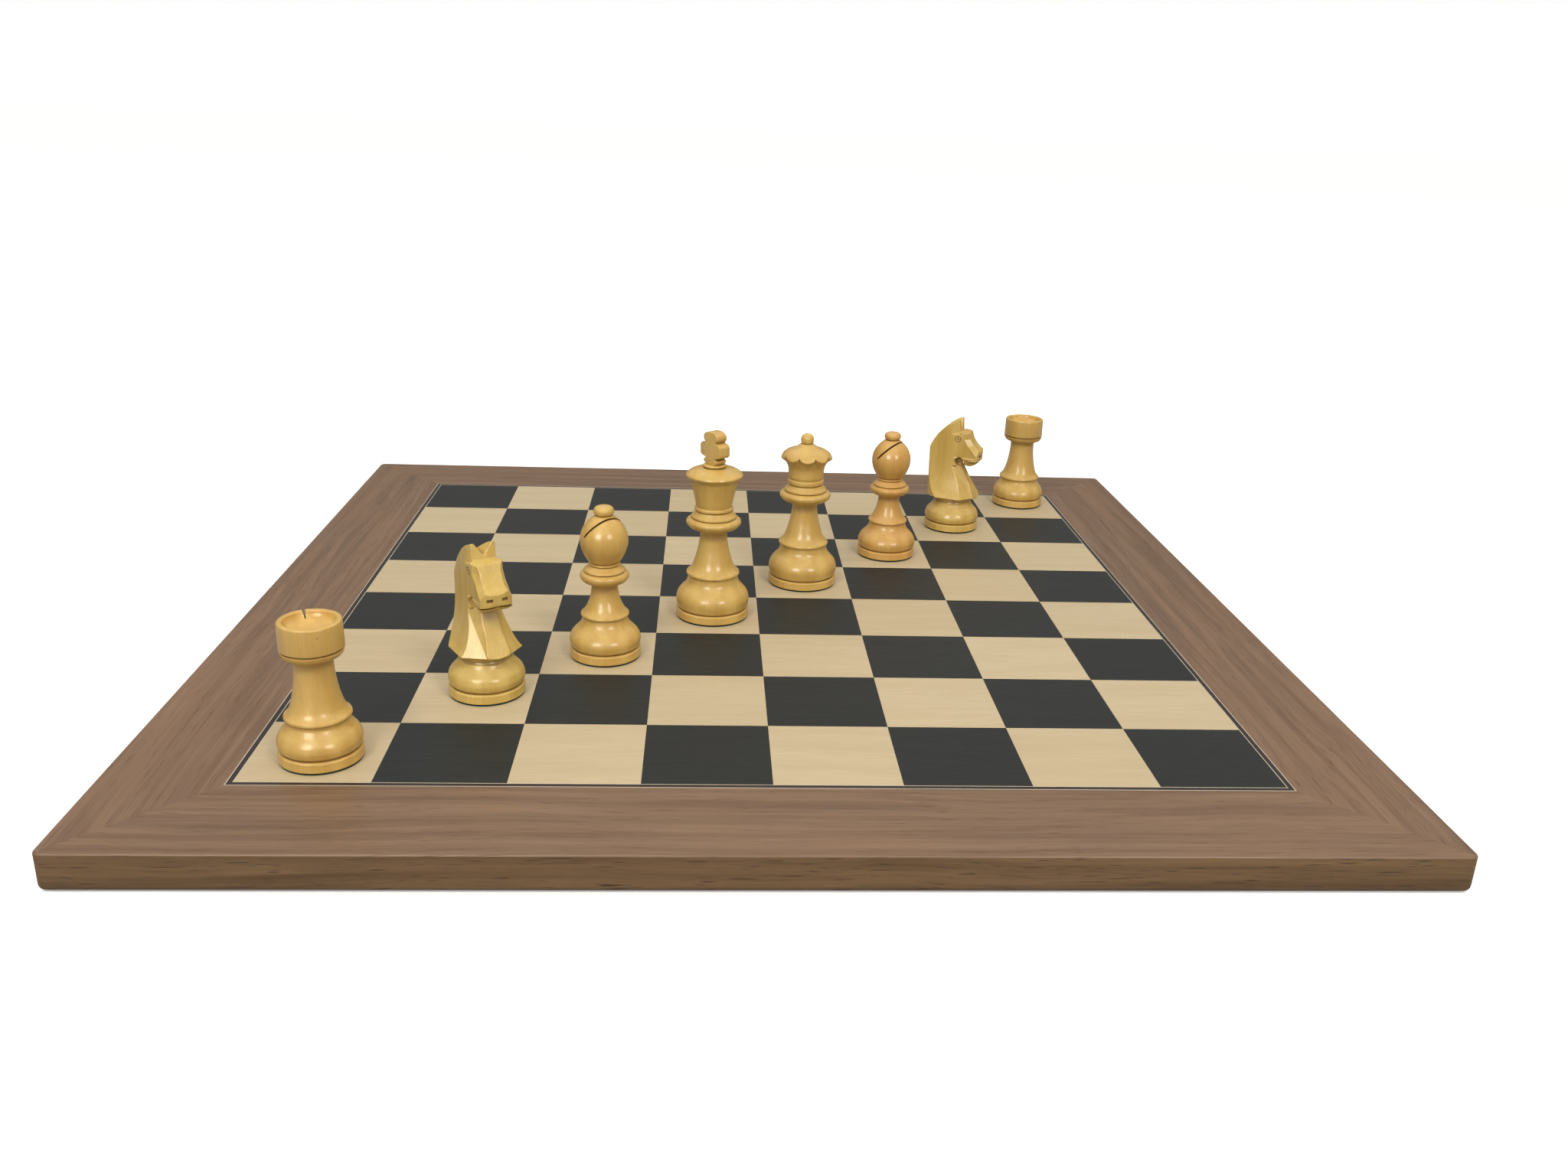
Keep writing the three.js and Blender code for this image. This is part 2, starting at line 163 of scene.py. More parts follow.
# %% The wood grain group
grain_group, grain_in, grain_out = new_group(
    "wood_grain",
    {"Coordinates": "Vector", "Band Size": "Vector", "Streak Size": "Vector", "Pore Size": "Vector"},
    {"Bands": "Float", "Streaks": "Float", "Pores": "Float"},
)
drift = noise(grain_group, grain_in.outputs["Coordinates"], (0.11, 0.035, 0.035), detail=1.0)
drift_width = math_node(grain_group, "MULTIPLY", math_node(grain_group, "SUBTRACT", drift, 0.5), 0.009)
drift_vector = add_node(grain_group, "ShaderNodeCombineXYZ", {"Y": drift_width, "Z": drift_width})
bent = add_node(
    grain_group,
    "ShaderNodeVectorMath",
    {0: grain_in.outputs["Coordinates"], 1: drift_vector.outputs[0]},
    operation="ADD",
).outputs[0]
bands = noise(grain_group, bent, grain_in.outputs["Band Size"], detail=3.0, roughness=0.55)
streaks = noise(grain_group, bent, grain_in.outputs["Streak Size"], detail=3.0, roughness=0.6)
pores = noise(grain_group, bent, grain_in.outputs["Pore Size"], detail=1.5, roughness=0.6)
grain_group.links.new(spread(grain_group, bands, 0.3, 0.7), grain_out.inputs["Bands"])
grain_group.links.new(spread(grain_group, streaks, 0.3, 0.7), grain_out.inputs["Streaks"])
grain_group.links.new(spread(grain_group, pores, 0.58, 0.74), grain_out.inputs["Pores"])
print("wood grain outputs:", [socket.name for socket in grain_out.inputs if socket.name])

# %% [markdown]
# ## Wear, grime and painted shade
# Hands polish the raised edges of wood. Its grooves are painted darker: partly a little dirt, partly
# shade where less light reaches. Cycles knows how far each point stands out from its surroundings
# and calls it Pointiness. Values above one half are edges and values below are grooves. A cloudy
# noise breaks up the polished edges, so that they don't look printed.

# %% The wear group
wear_group, wear_in, wear_out = new_group(
    "wear_grime_and_shade", {"Coordinates": "Vector"}, {"Worn": "Float", "Grime And Shade": "Float", "Smudges": "Float"}
)
pointiness = wear_group.nodes.new("ShaderNodeNewGeometry").outputs["Pointiness"]
patches = noise(wear_group, wear_in.outputs["Coordinates"], (0.006, 0.006, 0.006), detail=4.0)
smudges = noise(wear_group, wear_in.outputs["Coordinates"], (0.022, 0.022, 0.022), detail=3.0)
worn = math_node(wear_group, "MULTIPLY", spread(wear_group, pointiness, 0.51, 0.6), patches)
wear_group.links.new(worn, wear_out.inputs["Worn"])
# Grooves found by Pointiness, to be painted darker: partly a little dirt, partly painted shade.
wear_group.links.new(spread(wear_group, pointiness, 0.49, 0.42), wear_out.inputs["Grime And Shade"])
wear_group.links.new(spread(wear_group, smudges, 0.3, 0.7), wear_out.inputs["Smudges"])
print("wear outputs:", [socket.name for socket in wear_out.inputs if socket.name])

# %% [markdown]
# ## One tone for each square
# A veneer field is laid from squares cut out of different leaves, so each square has its own tone
# and its grain doesn't run on into the next one. Rounding the coordinates down to whole squares and
# feeding them to White Noise gives one random value a square. It could be a colour per object too,
# but then sixty-four squares would need sixty-four materials.

# %% The square tone group
square_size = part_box("rank_strip_1")[1].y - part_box("rank_strip_1")[0].y
tone_group, tone_in, tone_out = new_group(
    "tone_of_each_square", {"Coordinates": "Vector"}, {"Tone": "Float", "Shifted": "Vector"}
)
in_squares = add_node(
    tone_group,
    "ShaderNodeVectorMath",
    {0: tone_in.outputs["Coordinates"], 1: (square_size, square_size, 1.0)},
    operation="DIVIDE",
).outputs[0]
cell = add_node(tone_group, "ShaderNodeVectorMath", {0: in_squares}, operation="FLOOR").outputs[0]
white = add_node(tone_group, "ShaderNodeTexWhiteNoise", {"Vector": cell}, noise_dimensions="3D")
shift = add_node(
    tone_group, "ShaderNodeVectorMath", {0: white.outputs["Color"], 1: (1, 1, 0)}, operation="MULTIPLY"
)
shifted = add_node(
    tone_group,
    "ShaderNodeVectorMath",
    {0: tone_in.outputs["Coordinates"], 1: shift.outputs[0]},
    operation="ADD",
)
tone_group.links.new(white.outputs["Value"], tone_out.inputs["Tone"])
tone_group.links.new(shifted.outputs[0], tone_out.inputs["Shifted"])
print("square size in metres:", round(square_size, 4))

# %% [markdown]
# ## The finish of a piece
# Every finish ends in a Principled BSDF. What is the same all over a piece is typed straight into
# that shader, and what changes over the surface arrives through a link.

# %% Start and finish of a material
def new_finish(name):
    """A material with an empty tree but for the shader: its tree, its shader and Object coordinates."""
    material = bpy.data.materials.new(name)
    material.use_nodes = True
    tree = material.node_tree
    shader = tree.nodes["Principled BSDF"]
    place = tree.nodes.new("ShaderNodeTexCoord").outputs["Object"]
    return material, tree, shader, place


def turned_coordinates(tree, place, location=(0, 0, 0), rotation=(0, 0, 0)):
    """Coordinates seen from a frame that stands at `location` and is turned by `rotation`."""
    inputs = {"Vector": place, "Location": location, "Rotation": rotation}
    return add_node(tree, "ShaderNodeMapping", inputs, vector_type="TEXTURE").outputs[0]


def finish_surface(tree, shader, base, roughness, height, depth):
    """Joins colour, roughness and a bump of `depth` metres to the shader."""
    tree.links.new(base, shader.inputs["Base Color"])
    tree.links.new(roughness, shader.inputs["Roughness"])
    bump = add_node(tree, "ShaderNodeBump", {"Height": height, "Distance": depth, "Strength": 1.0})
    tree.links.new(bump.outputs[0], shader.inputs["Normal"])


print("finish helpers ready")

# %% [markdown]
# ## Walnut
# The border is walnut veneer under a satin lacquer: a pinkish tan with long soft bands and short
# dark pores. The lipping is solid walnut, a shade browner. In both the grain follows the length of
# the rail, so rails on the left and right get the pattern turned by a quarter. The `seed` moves the
# pattern along, so that no two rails are the same.

# %% Walnut finishes
def walnut(name, tones, quarter_turns, seed, pore_strength):
    """Walnut whose grain runs along X, or along Y after an odd number of quarter turns."""
    dark_tone, light_tone, pore_tone = tones
    material, tree, shader, place = new_finish(name)
    turn = quarter_turns * math.pi / 2
    place = turned_coordinates(tree, place, (seed * 0.37, seed * 0.61, seed * 0.13), (0, 0, turn))
    sizes = {
        "Band Size": (0.22, 0.005, 0.005),
        "Streak Size": (0.07, 0.0011, 0.0011),
        "Pore Size": (0.016, 0.00055, 0.00055),
    }
    grain = use_group(tree, grain_group, {"Coordinates": place, **sizes})
    cloud = noise(tree, place, (0.12, 0.05, 0.05), detail=2.0)
    fine_bands = math_node(tree, "MULTIPLY", grain["Streaks"], 0.35)
    broad_bands = math_node(tree, "MULTIPLY", grain["Bands"], 0.65)
    bands = math_node(tree, "ADD", fine_bands, broad_bands)
    base = mix_colour(tree, bands, dark_tone, light_tone)
    warm = mix_colour(tree, spread(tree, cloud, 0.35, 0.7, 0.0, 0.2), base, colour(140, 106, 78))
    pore_mask = math_node(tree, "MULTIPLY", grain["Pores"], pore_strength)
    base = mix_colour(tree, pore_mask, warm, pore_tone)
    roughness = math_node(tree, "ADD", math_node(tree, "MULTIPLY", grain["Pores"], 0.2), 0.42)
    height = math_node(tree, "SUBTRACT", math_node(tree, "MULTIPLY", bands, 0.3), pore_mask)
    finish_surface(tree, shader, base, roughness, height, 0.00006)
    shader.inputs["Specular IOR Level"].default_value = 0.4
    return material


VENEER_TONES = (colour(104, 81, 62), colour(138, 110, 86), colour(72, 52, 38))
LIPPING_TONES = (colour(94, 69, 42), colour(130, 102, 68), colour(50, 32, 17))
SIDES = ("front", "right", "back", "left")
veneer_finish = {}
lipping_finish = {}
for side, place in enumerate(SIDES):
    veneer_finish[place] = walnut("walnut_veneer_" + place, VENEER_TONES, side % 2, side + 1, 0.42)
    lipping_finish[place] = walnut("walnut_lipping_" + place, LIPPING_TONES, side % 2, side + 7, 0.8)
underside_finish = walnut("walnut_backing", VENEER_TONES, 0, 20, 0.55)
print("walnut finishes:", len(veneer_finish) + len(lipping_finish) + 1)

# %% [markdown]
# ## The field and its inlay
# The light squares are maple veneer with very fine grain, and the dark squares are the same veneer
# dyed black through, under one coat of satin lacquer. The inlay round the field is a black band
# between two white lines, a strip that is bought ready made and let in as one.

# %% Veneers of the field
def field_veneer(name, tones, line_strength, rough):
    """Fine veneer whose tone changes a little from square to square, with its grain along X."""
    low_tone, high_tone, line_tone = tones
    material, tree, shader, place = new_finish(name)
    tone = use_group(tree, tone_group, {"Coordinates": place})
    sizes = {
        "Band Size": (0.09, 0.008, 0.008),
        "Streak Size": (0.016, 0.0005, 0.0005),
        "Pore Size": (0.006, 0.0004, 0.0004),
    }
    grain = use_group(tree, grain_group, {"Coordinates": tone["Shifted"], **sizes})
    cloud = math_node(tree, "MULTIPLY", grain["Bands"], 0.5)
    level = math_node(tree, "ADD", cloud, math_node(tree, "MULTIPLY", tone["Tone"], 0.5))
    base = mix_colour(tree, level, low_tone, high_tone)
    lines = math_node(tree, "MULTIPLY", grain["Streaks"], line_strength)
    base = mix_colour(tree, lines, base, line_tone)
    pore_mask = math_node(tree, "MULTIPLY", grain["Pores"], line_strength)
    base = mix_colour(tree, pore_mask, base, line_tone)
    roughness = math_node(tree, "ADD", math_node(tree, "MULTIPLY", grain["Streaks"], 0.06), rough)
    height = math_node(tree, "MULTIPLY", grain["Streaks"], -1.0)
    finish_surface(tree, shader, base, roughness, height, 0.000012)
    shader.inputs["Specular IOR Level"].default_value = 0.4
    return material


MAPLE_TONES = (colour(194, 176, 141), colour(206, 190, 156), colour(176, 154, 116))
DYED_TONES = (colour(28, 32, 31), colour(35, 39, 38), colour(22, 25, 24))
BLACK_LINE_TONES = (colour(46, 36, 32), colour(54, 44, 40), colour(30, 24, 22))
WHITE_LINE_TONES = (colour(200, 188, 164), colour(216, 206, 186), colour(170, 150, 120))
maple = field_veneer("maple_veneer", MAPLE_TONES, 0.25, 0.46)
dyed_black = field_veneer("dyed_veneer", DYED_TONES, 0.4, 0.48)
inlay_black = field_veneer("inlay_black", BLACK_LINE_TONES, 0.4, 0.36)
inlay_white = field_veneer("inlay_white", WHITE_LINE_TONES, 0.3, 0.36)
print("field veneers:", maple.name, dyed_black.name, inlay_black.name, inlay_white.name)

# %% [markdown]
# ## Boxwood
# The chessmen are boxwood: a warm yellow with hardly any figure, a satin sheen, and faint rings that
# the lathe tool left. Its grain runs up the piece. The rings need to know where the axis of a
# chessman is, so each one gets a boxwood of its own, centred with a Mapping node. That also gives
# each its own tint, because no two blocks of wood have quite the same yellow.

# %% Boxwood finish
def boxwood(name, axis, tint):
    """Boxwood round an upright axis; `tint` runs from 0, pale straw, to 1, orange."""
    material, tree, shader, place = new_finish(name)
    upright = turned_coordinates(tree, place, axis, (0, -math.pi / 2, 0))
    sizes = {
        "Band Size": (0.05, 0.006, 0.006),
        "Streak Size": (0.012, 0.0009, 0.0009),
        "Pore Size": (0.003, 0.0005, 0.0005),
    }
    grain = use_group(tree, grain_group, {"Coordinates": upright, **sizes})
    wear = use_group(tree, wear_group, {"Coordinates": place})
    pale = [a + (b - a) * tint for a, b in zip(colour(220, 191, 106), colour(222, 177, 98))]
    deep = [a + (b - a) * tint for a, b in zip(colour(206, 172, 86), colour(208, 157, 78))]
    base = mix_colour(tree, grain["Bands"], deep, pale)
    fine = math_node(tree, "MULTIPLY", grain["Streaks"], 0.22)
    base = mix_colour(tree, fine, base, colour(190, 150, 80))
    specks = math_node(tree, "MULTIPLY", grain["Pores"], 0.14)
    base = mix_colour(tree, specks, base, colour(150, 108, 56))
    base = mix_colour(tree, math_node(tree, "MULTIPLY", wear["Worn"], 0.5), base, colour(224, 194, 132))
    # Painted shade: ambient occlusion darkens the hollows and grooves towards a deep brown. It is joined
    # with the grooves that Pointiness finds, which are painted shade and a little dirt.
    shade = add_node(tree, "ShaderNodeAmbientOcclusion", {"Distance": 0.0028}, samples=8, only_local=True)
    hollow_shade = spread(tree, shade.outputs["AO"], 0.8, 0.3)
    groove_shade_and_grime = math_node(tree, "MAXIMUM", hollow_shade, wear["Grime And Shade"])
    base = mix_colour(tree, math_node(tree, "MULTIPLY", groove_shade_and_grime, 0.72), base, colour(122, 78, 24))
    parts = add_node(tree, "ShaderNodeSeparateXYZ", {0: upright}).outputs
    ring_place = add_node(tree, "ShaderNodeCombineXYZ", {"X": parts[0]}).outputs[0]
    rings = noise(tree, ring_place, (0.0007, 1.0, 1.0), detail=2.0)
    roughness = spread(tree, wear["Smudges"], 0.0, 1.0, 0.34, 0.46)
    height = math_node(tree, "ADD", rings, math_node(tree, "MULTIPLY", grain["Streaks"], -0.5))
    finish_surface(tree, shader, base, roughness, height, 0.00002)
    shader.inputs["Coat Weight"].default_value = 0.5
    shader.inputs["Coat Roughness"].default_value = 0.17
    shader.inputs["Specular IOR Level"].default_value = 0.4
    return material


MEN = ("rook_1", "knight_1", "bishop_1", "king", "queen", "bishop_2", "knight_2", "rook_2")
TINTS = dict(zip(MEN, (0.5, 0.0, 0.5, 0.35, 0.4, 1.0, 0.15, 0.45)))


def foot_point(man):
    """The middle of a chessman's felt, on the board: where its axis meets the square."""
    low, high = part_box(man + "_felt")
    return Vector(((low.x + high.x) / 2, (low.y + high.y) / 2, low.z))


wood_of = {man: boxwood("boxwood_" + man, foot_point(man), TINTS[man]) for man in MEN}
for man in MEN:
    print(man, "stands at", [round(place, 4) for place in foot_point(man)])

# %% [markdown]
# ## Felt, iron, beech and board
# The felt is a matted cloth with no weave: soft noise at the size of its fibres, no gloss at all and
# a little sheen. The weight, the dowel and the core are inside and hardly ever seen, but a part
# that is taken apart shows them, so they get a rough casting skin, plain beech and pressed fibre.

# %% Hidden and underside finishes
def clouded(name, tones, size, rough, depth, metal=0.0, sheen=0.0):
    """A finish of two tones mixed by noise, with a bump of the same noise."""
    low_tone, high_tone = tones
    material, tree, shader, place = new_finish(name)
    coarse = noise(tree, place, size, detail=4.0, roughness=0.65)
    fine = noise(tree, place, [length / 5 for length in size], detail=3.0, roughness=0.6)
    both = math_node(tree, "MULTIPLY", math_node(tree, "ADD", coarse, fine), 0.5)
    base = mix_colour(tree, spread(tree, both, 0.35, 0.65), low_tone, high_tone)
    roughness = spread(tree, fine, 0.3, 0.7, rough - 0.08, rough)
    finish_surface(tree, shader, base, roughness, both, depth)
    shader.inputs["Metallic"].default_value = metal
    shader.inputs["Sheen Weight"].default_value = sheen
    return material


FIBRE = (0.0004, 0.0004, 0.0004)
CASTING = (0.002, 0.002, 0.002)
UPRIGHT_GRAIN = (0.001, 0.001, 0.012)
PRESSED_FIBRE = (0.003, 0.003, 0.001)
# The felt is the cloth's own dark green, darkened further to paint the shadow line under each foot.
FELT_AND_SHADOW_TONES = (colour(6, 30, 16), colour(14, 50, 28))
IRON_TONES = (colour(62, 62, 64), colour(96, 94, 92))
BEECH_TONES = (colour(184, 146, 108), colour(206, 170, 130))
CORE_TONES = (colour(150, 122, 86), colour(182, 154, 114))
felt_and_shadow_finish = clouded("green_felt", FELT_AND_SHADOW_TONES, FIBRE, 1.0, 0.0002, sheen=0.1)
iron_finish = clouded("cast_iron", IRON_TONES, CASTING, 0.7, 0.0002, metal=0.8)
beech_finish = clouded("beech", BEECH_TONES, UPRIGHT_GRAIN, 0.7, 0.0001)
core_finish = clouded("core_board", CORE_TONES, PRESSED_FIBRE, 0.9, 0.0001)
for man in MEN:
    frame["nodes"][man + "_weight"].data.materials[0] = iron_finish
for man in ("knight_1", "knight_2"):
    frame["nodes"][man + "_dowel"].data.materials[0] = beech_finish
frame["nodes"]["core_panel"].data.materials[0] = core_finish
frame["nodes"]["base_veneer"].data.materials[0] = underside_finish
print("finishes in the file:", len(bpy.data.materials))

# %% [markdown]
# ## Turning a shape into a piece
# Every new piece takes the same last steps: its bmesh becomes a mesh, flat faces keep crisp edges
# while curved ones are shaded smooth, it gets its finish, and it rides on a CAD body. It also hides
# the CAD nodes it stands for.

# %% Piece helper
def add_piece(name, shape, finish, body, replaced=(), sharp_angle=35):
    """A finished piece from a bmesh that is already in place, in metres."""
    mesh = bpy.data.meshes.new(name)
    shape.to_mesh(mesh)
    shape.free()
    mesh.shade_smooth()
    mesh.set_sharp_from_angle(angle=math.radians(sharp_angle))
    mesh.materials.append(finish)
    piece = bpy.data.objects.new(name, mesh)
    bpy.context.scene.collection.objects.link(piece)
    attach(piece, body)
    if replaced:
        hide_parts(*replaced)


def whole(shape):
    """All vertices, edges and faces of a bmesh, as its cutting operators want them."""
    return shape.verts[:] + shape.edges[:] + shape.faces[:]


def tidy_up(shape):
    """Merges doubled points and turns every face outwards."""
    bmesh.ops.remove_doubles(shape, verts=shape.verts[:], dist=0.000002)
    bmesh.ops.recalc_face_normals(shape, faces=shape.faces[:])
    return shape


print("piece helpers ready")

# %% [markdown]
# ## The board blank
# Border and lipping share one outer form: a square plate with slightly rounded upright corners, a
# softened upper edge and a fuller round below, where fingers get under the board. So the form is
# made once, with three bevels on a cube, and each strip is sawn from a copy of it, the way a joiner
# trims the whole board after gluing. The alternative, rounding eight strips one by one, would
# leave steps at the mitres.

# %% Make the board blank
half_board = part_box("border_right")[1].x
board_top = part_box("border_front")[1].z
veneer_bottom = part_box("border_front")[0].z
half_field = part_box("rank_strip_1")[1].x
half_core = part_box("core_panel")[1].x
half_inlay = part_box("banding_right")[1].x
UPRIGHT_ROUND = 3 * MM
TOP_ROUND = 0.9 * MM
BOTTOM_ROUND = 2.5 * MM


def edges_where(shape, test):
    """The edges whose two ends both pass a test."""
    return [edge for edge in shape.edges if all(test(vert.co) for vert in edge.verts)]


def round_edges(shape, edges, radius, segments):
    """Rounds the given edges of a shape."""
    bmesh.ops.bevel(
        shape, geom=edges, affect="EDGES", offset=radius, segments=segments, profile=0.5, material=-1
    )


board_blank = bmesh.new()
bmesh.ops.create_cube(board_blank, size=1.0)
bmesh.ops.scale(board_blank, vec=(2 * half_board, 2 * half_board, board_top), verts=board_blank.verts)
bmesh.ops.translate(board_blank, vec=(0, 0, board_top / 2), verts=board_blank.verts)
upright = [edge for edge in board_blank.edges if abs(edge.verts[0].co.z - edge.verts[1].co.z) > MM]
round_edges(board_blank, upright, UPRIGHT_ROUND, 6)
round_edges(board_blank, edges_where(board_blank, lambda co: co.z > board_top - 1e-6), TOP_ROUND, 5)
round_edges(board_blank, edges_where(board_blank, lambda co: co.z < 1e-6), BOTTOM_ROUND, 6)
print("board blank:", len(board_blank.faces), "faces,", round(2 * half_board, 3), "m wide")

# %% [markdown]
# ## Sawing strips with mitred ends
# Bisect Plane is a saw: it cuts the shape, drops what lies beyond the plane, and the open cut is
# then closed with one face. Each strip is sawn on the near side of the board first and then turned
# to its own side. Two mitre cuts leave a hair of room for the glue line.

# %% Sawing helpers
GLUE_LINE = 0.02 * MM


def saw(shape, point, beyond):
    """Cuts away what lies on the side of the plane that `beyond` points to, and closes the cut."""
    cut = bmesh.ops.bisect_plane(
        shape, geom=whole(shape), dist=1e-8, plane_co=point, plane_no=beyond, clear_outer=True
    )
    rim = [part for part in cut["geom_cut"] if isinstance(part, bmesh.types.BMEdge)]
    bmesh.ops.edgeloop_fill(shape, edges=rim)


def sawn_strip(blank, outer, inner, bottom, top):
    """A strip on the near side, between two distances from the middle and two heights."""
    strip = blank.copy()
    saw(strip, (0, -outer, 0), (0, -1, 0))
    saw(strip, (0, -inner, 0), (0, 1, 0))
    saw(strip, (0, 0, bottom), (0, 0, -1))
    saw(strip, (0, 0, top), (0, 0, 1))
    for hand in (-1, 1):
        saw(strip, (-hand * GLUE_LINE, 0, 0), (hand, 1, 0))
    return strip


def on_side(strip, side):
    """Turns a strip from the near side to side 0 (near), 1 (right), 2 (far) or 3 (left)."""
    quarter_turns = Matrix.Rotation(side * math.pi / 2, 3, "Z")
    bmesh.ops.rotate(strip, cent=(0, 0, 0), matrix=quarter_turns, verts=strip.verts[:])
    return tidy_up(strip)


print("saw ready, glue line", GLUE_LINE, "m")

# %% Border and lipping
HAIR = 0.01 * MM
for side, place in enumerate(SIDES):
    border = sawn_strip(board_blank, half_board + MM, half_inlay, veneer_bottom, board_top + MM)
    border = on_side(border, side)
    name = "walnut_border_" + place
    add_piece(name, border, veneer_finish[place], "board", ["border_" + place])
    lipping = sawn_strip(board_blank, half_board + MM, half_core, -MM, veneer_bottom - HAIR)
    lipping = on_side(lipping, side)
    name = "walnut_lipping_" + place
    add_piece(name, lipping, lipping_finish[place], "board", ["lipping_" + place])
print("border strips and lippings:", 2 * len(SIDES))

# %% [markdown]
# ## The inlaid lines
# Seen close up, the inlay is three strips side by side: white, black, white. The white lines are
# barely a third of a millimetre wide, but they are what makes the border look crisp. They are real
# strips here and not a painted pattern, so that they stay sharp at any distance.

# %% Lay the inlay
WHITE_LINE = 0.36 * MM
plain_blank = bmesh.new()
bmesh.ops.create_cube(plain_blank, size=1.0)
bmesh.ops.scale(plain_blank, vec=(2 * half_board, 2 * half_board, 4 * board_top), verts=plain_blank.verts)
for side, place in enumerate(SIDES):
    widths = {
        "outer_line": (half_inlay - HAIR, half_inlay - WHITE_LINE, inlay_white),
        "band": (half_inlay - WHITE_LINE - HAIR, half_field + WHITE_LINE, inlay_black),
        "inner_line": (half_field + WHITE_LINE - HAIR, half_field + HAIR, inlay_white),
    }
    for part, (outer, inner, finish) in widths.items():
        strip = sawn_strip(plain_blank, outer, inner, veneer_bottom, board_top)
        name = "inlay_" + part + "_" + place
        add_piece(name, on_side(strip, side), finish, "board", ["banding_" + place])
plain_blank.free()
board_blank.free()
print("inlay strips:", 3 * len(SIDES))

# %% [markdown]
# ## The squares
# Sixty-four squares of veneer, eight to a rank. Those of one colour in one rank are one piece, so a
# rank is two pieces and takes the place of one CAD strip. The top edges get the smallest of bevels,
# because the joints between real squares show as hairlines when light falls across them.

# %% Lay the squares
SQUARES = 8
JOINT = 0.015 * MM
SQUARE_BEVEL = 0.03 * MM


def veneer_square(shape, low, side, thickness):
    """Adds one square of veneer with its lowest corner at `low`."""
    made = bmesh.ops.create_cube(shape, size=1.0)["verts"]
    bmesh.ops.scale(shape, vec=(side - 2 * JOINT, side - 2 * JOINT, thickness), verts=made)
    middle = low + Vector((side / 2, side / 2, thickness / 2))
    bmesh.ops.translate(shape, vec=middle, verts=made)


for rank in range(SQUARES):
    strip_name = "rank_strip_" + str(rank + 1)
    low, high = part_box(strip_name)
    for shade, finish in enumerate((maple, dyed_black)):
        squares = bmesh.new()
        for file in range(SQUARES):
            if (rank + file) % 2 == shade:
                corner = low + Vector((file * square_size, 0, 0))
                veneer_square(squares, corner, square_size, high.z - low.z)
        upper_edges = edges_where(squares, lambda co: co.z > board_top - 1e-6)
        round_edges(squares, upper_edges, SQUARE_BEVEL, 1)
        name = ("light" if shade == 0 else "dark") + "_squares_" + str(rank + 1)
        add_piece(name, squares, finish, "board", [strip_name])
print("squares:", SQUARES * SQUARES)

# %% [markdown]
# ## Turning on the lathe
# A chessman is turned: its whole shape is one outline, swept round an axis. The outline is a list of
# runs. A run of two points is straight, and a longer run is a smooth curve through its points. Where
# two runs meet there is a corner, which sandpaper has softened. In Blender that is three operators:
# Bevel rounds the corners of the outline, Spin sweeps it, and Remove Doubles closes the poles. The
# Screw modifier could do the same, but then the corners couldn't be rounded first.

# %% Lathe helpers
CURVE_STEPS = 6
LATHE_STEPS = 112


def smooth_run(points):
    """A smooth curve through the given (radius, height) points."""
    knots = [Vector((radius, 0, height)) for radius, height in points]
    if len(knots) == 2:
        return knots
    padded = [knots[0]] + knots + [knots[-1]]
    curve = []
    for before, here, there, after in zip(padded, padded[1:], padded[2:], padded[3:]):
        lead = here + (there - before) / 6
        trail = there - (after - here) / 6
        curve += interpolate_bezier(here, lead, trail, there, CURVE_STEPS)[:-1]
    return curve + [knots[-1]]


def turned(runs, softness=0.16, closed=False, steps=LATHE_STEPS):
    """A solid turned from an outline in millimetres that goes from the axis round to the axis."""
    shape = bmesh.new()
    path = []
    corners = []
    for run in runs:
        curve = smooth_run(run)
        if path and (path[-1].co - curve[0]).length < 1e-6:
            corners.append(path[-1])
            curve = curve[1:]
        path += [shape.verts.new(point) for point in curve]
    if closed:
        corners.append(path[0])
        path.append(path[0])
    for start, end in zip(path, path[1:]):
        if start is not end:
            shape.edges.new((start, end))
    corners = [vert for vert in corners if vert.co.x > 0.01]
    bmesh.ops.bevel(
        shape,
        geom=corners,
        affect="VERTICES",
        offset=softness,
        segments=3,
        profile=0.5,
        material=-1,
        clamp_overlap=True,
    )
    bmesh.ops.spin(
        shape,
        geom=shape.verts[:] + shape.edges[:],
        axis=(0, 0, 1),
        cent=(0, 0, 0),
        steps=steps,
        angle=2 * math.pi,
        use_merge=True,
    )
    bmesh.ops.remove_doubles(shape, verts=shape.verts[:], dist=0.002)
    bmesh.ops.recalc_face_normals(shape, faces=shape.faces[:])
    return shape


def set_down(shape, man, heading=0.0):
    """Takes a shape made in millimetres round the axis to its chessman's place on the board."""
    place = Matrix.Translation(foot_point(man)) @ Matrix.Rotation(math.radians(heading), 4, "Z")
    shape.transform(place @ Matrix.Scale(MM, 4))
    return shape


def add_wood(name, shape, man, stands_for, heading=0.0, sharp_angle=35):
    """A boxwood piece of a chessman, from a shape in millimetres round the axis."""
    placed = set_down(shape, man, heading)
    add_piece(name, placed, wood_of[man], man, [stands_for], sharp_angle)


print("lathe ready,", LATHE_STEPS, "steps a turn")

# %% [markdown]
# ## Cutting one shape with another
# Saw cuts, drilled eyes and chisel facets are made by taking a cutter away from the piece, which is
# the Boolean modifier's job. The exact solver is slower than the fast one, but it stays correct
# where faces meet edge to edge. The modifier is applied at once, so that nothing depends on the
# cutter afterwards.

# %% Boolean helper
def as_object(shape, name):
    """A bmesh as an object in the scene, for a modifier to work on."""
    mesh = bpy.data.meshes.new(name)
    shape.to_mesh(mesh)
    shape.free()
    made = bpy.data.objects.new(name, mesh)
    bpy.context.scene.collection.objects.link(made)
    return made


def apply_modifiers(worked):
    """The object's shape with its modifiers applied, as a bmesh. The object is removed."""
    view = bpy.context.evaluated_depsgraph_get()
    result = bmesh.new()
    result.from_mesh(worked.evaluated_get(view).to_mesh())
    mesh = worked.data
    bpy.data.objects.remove(worked)
    bpy.data.meshes.remove(mesh)
    return result


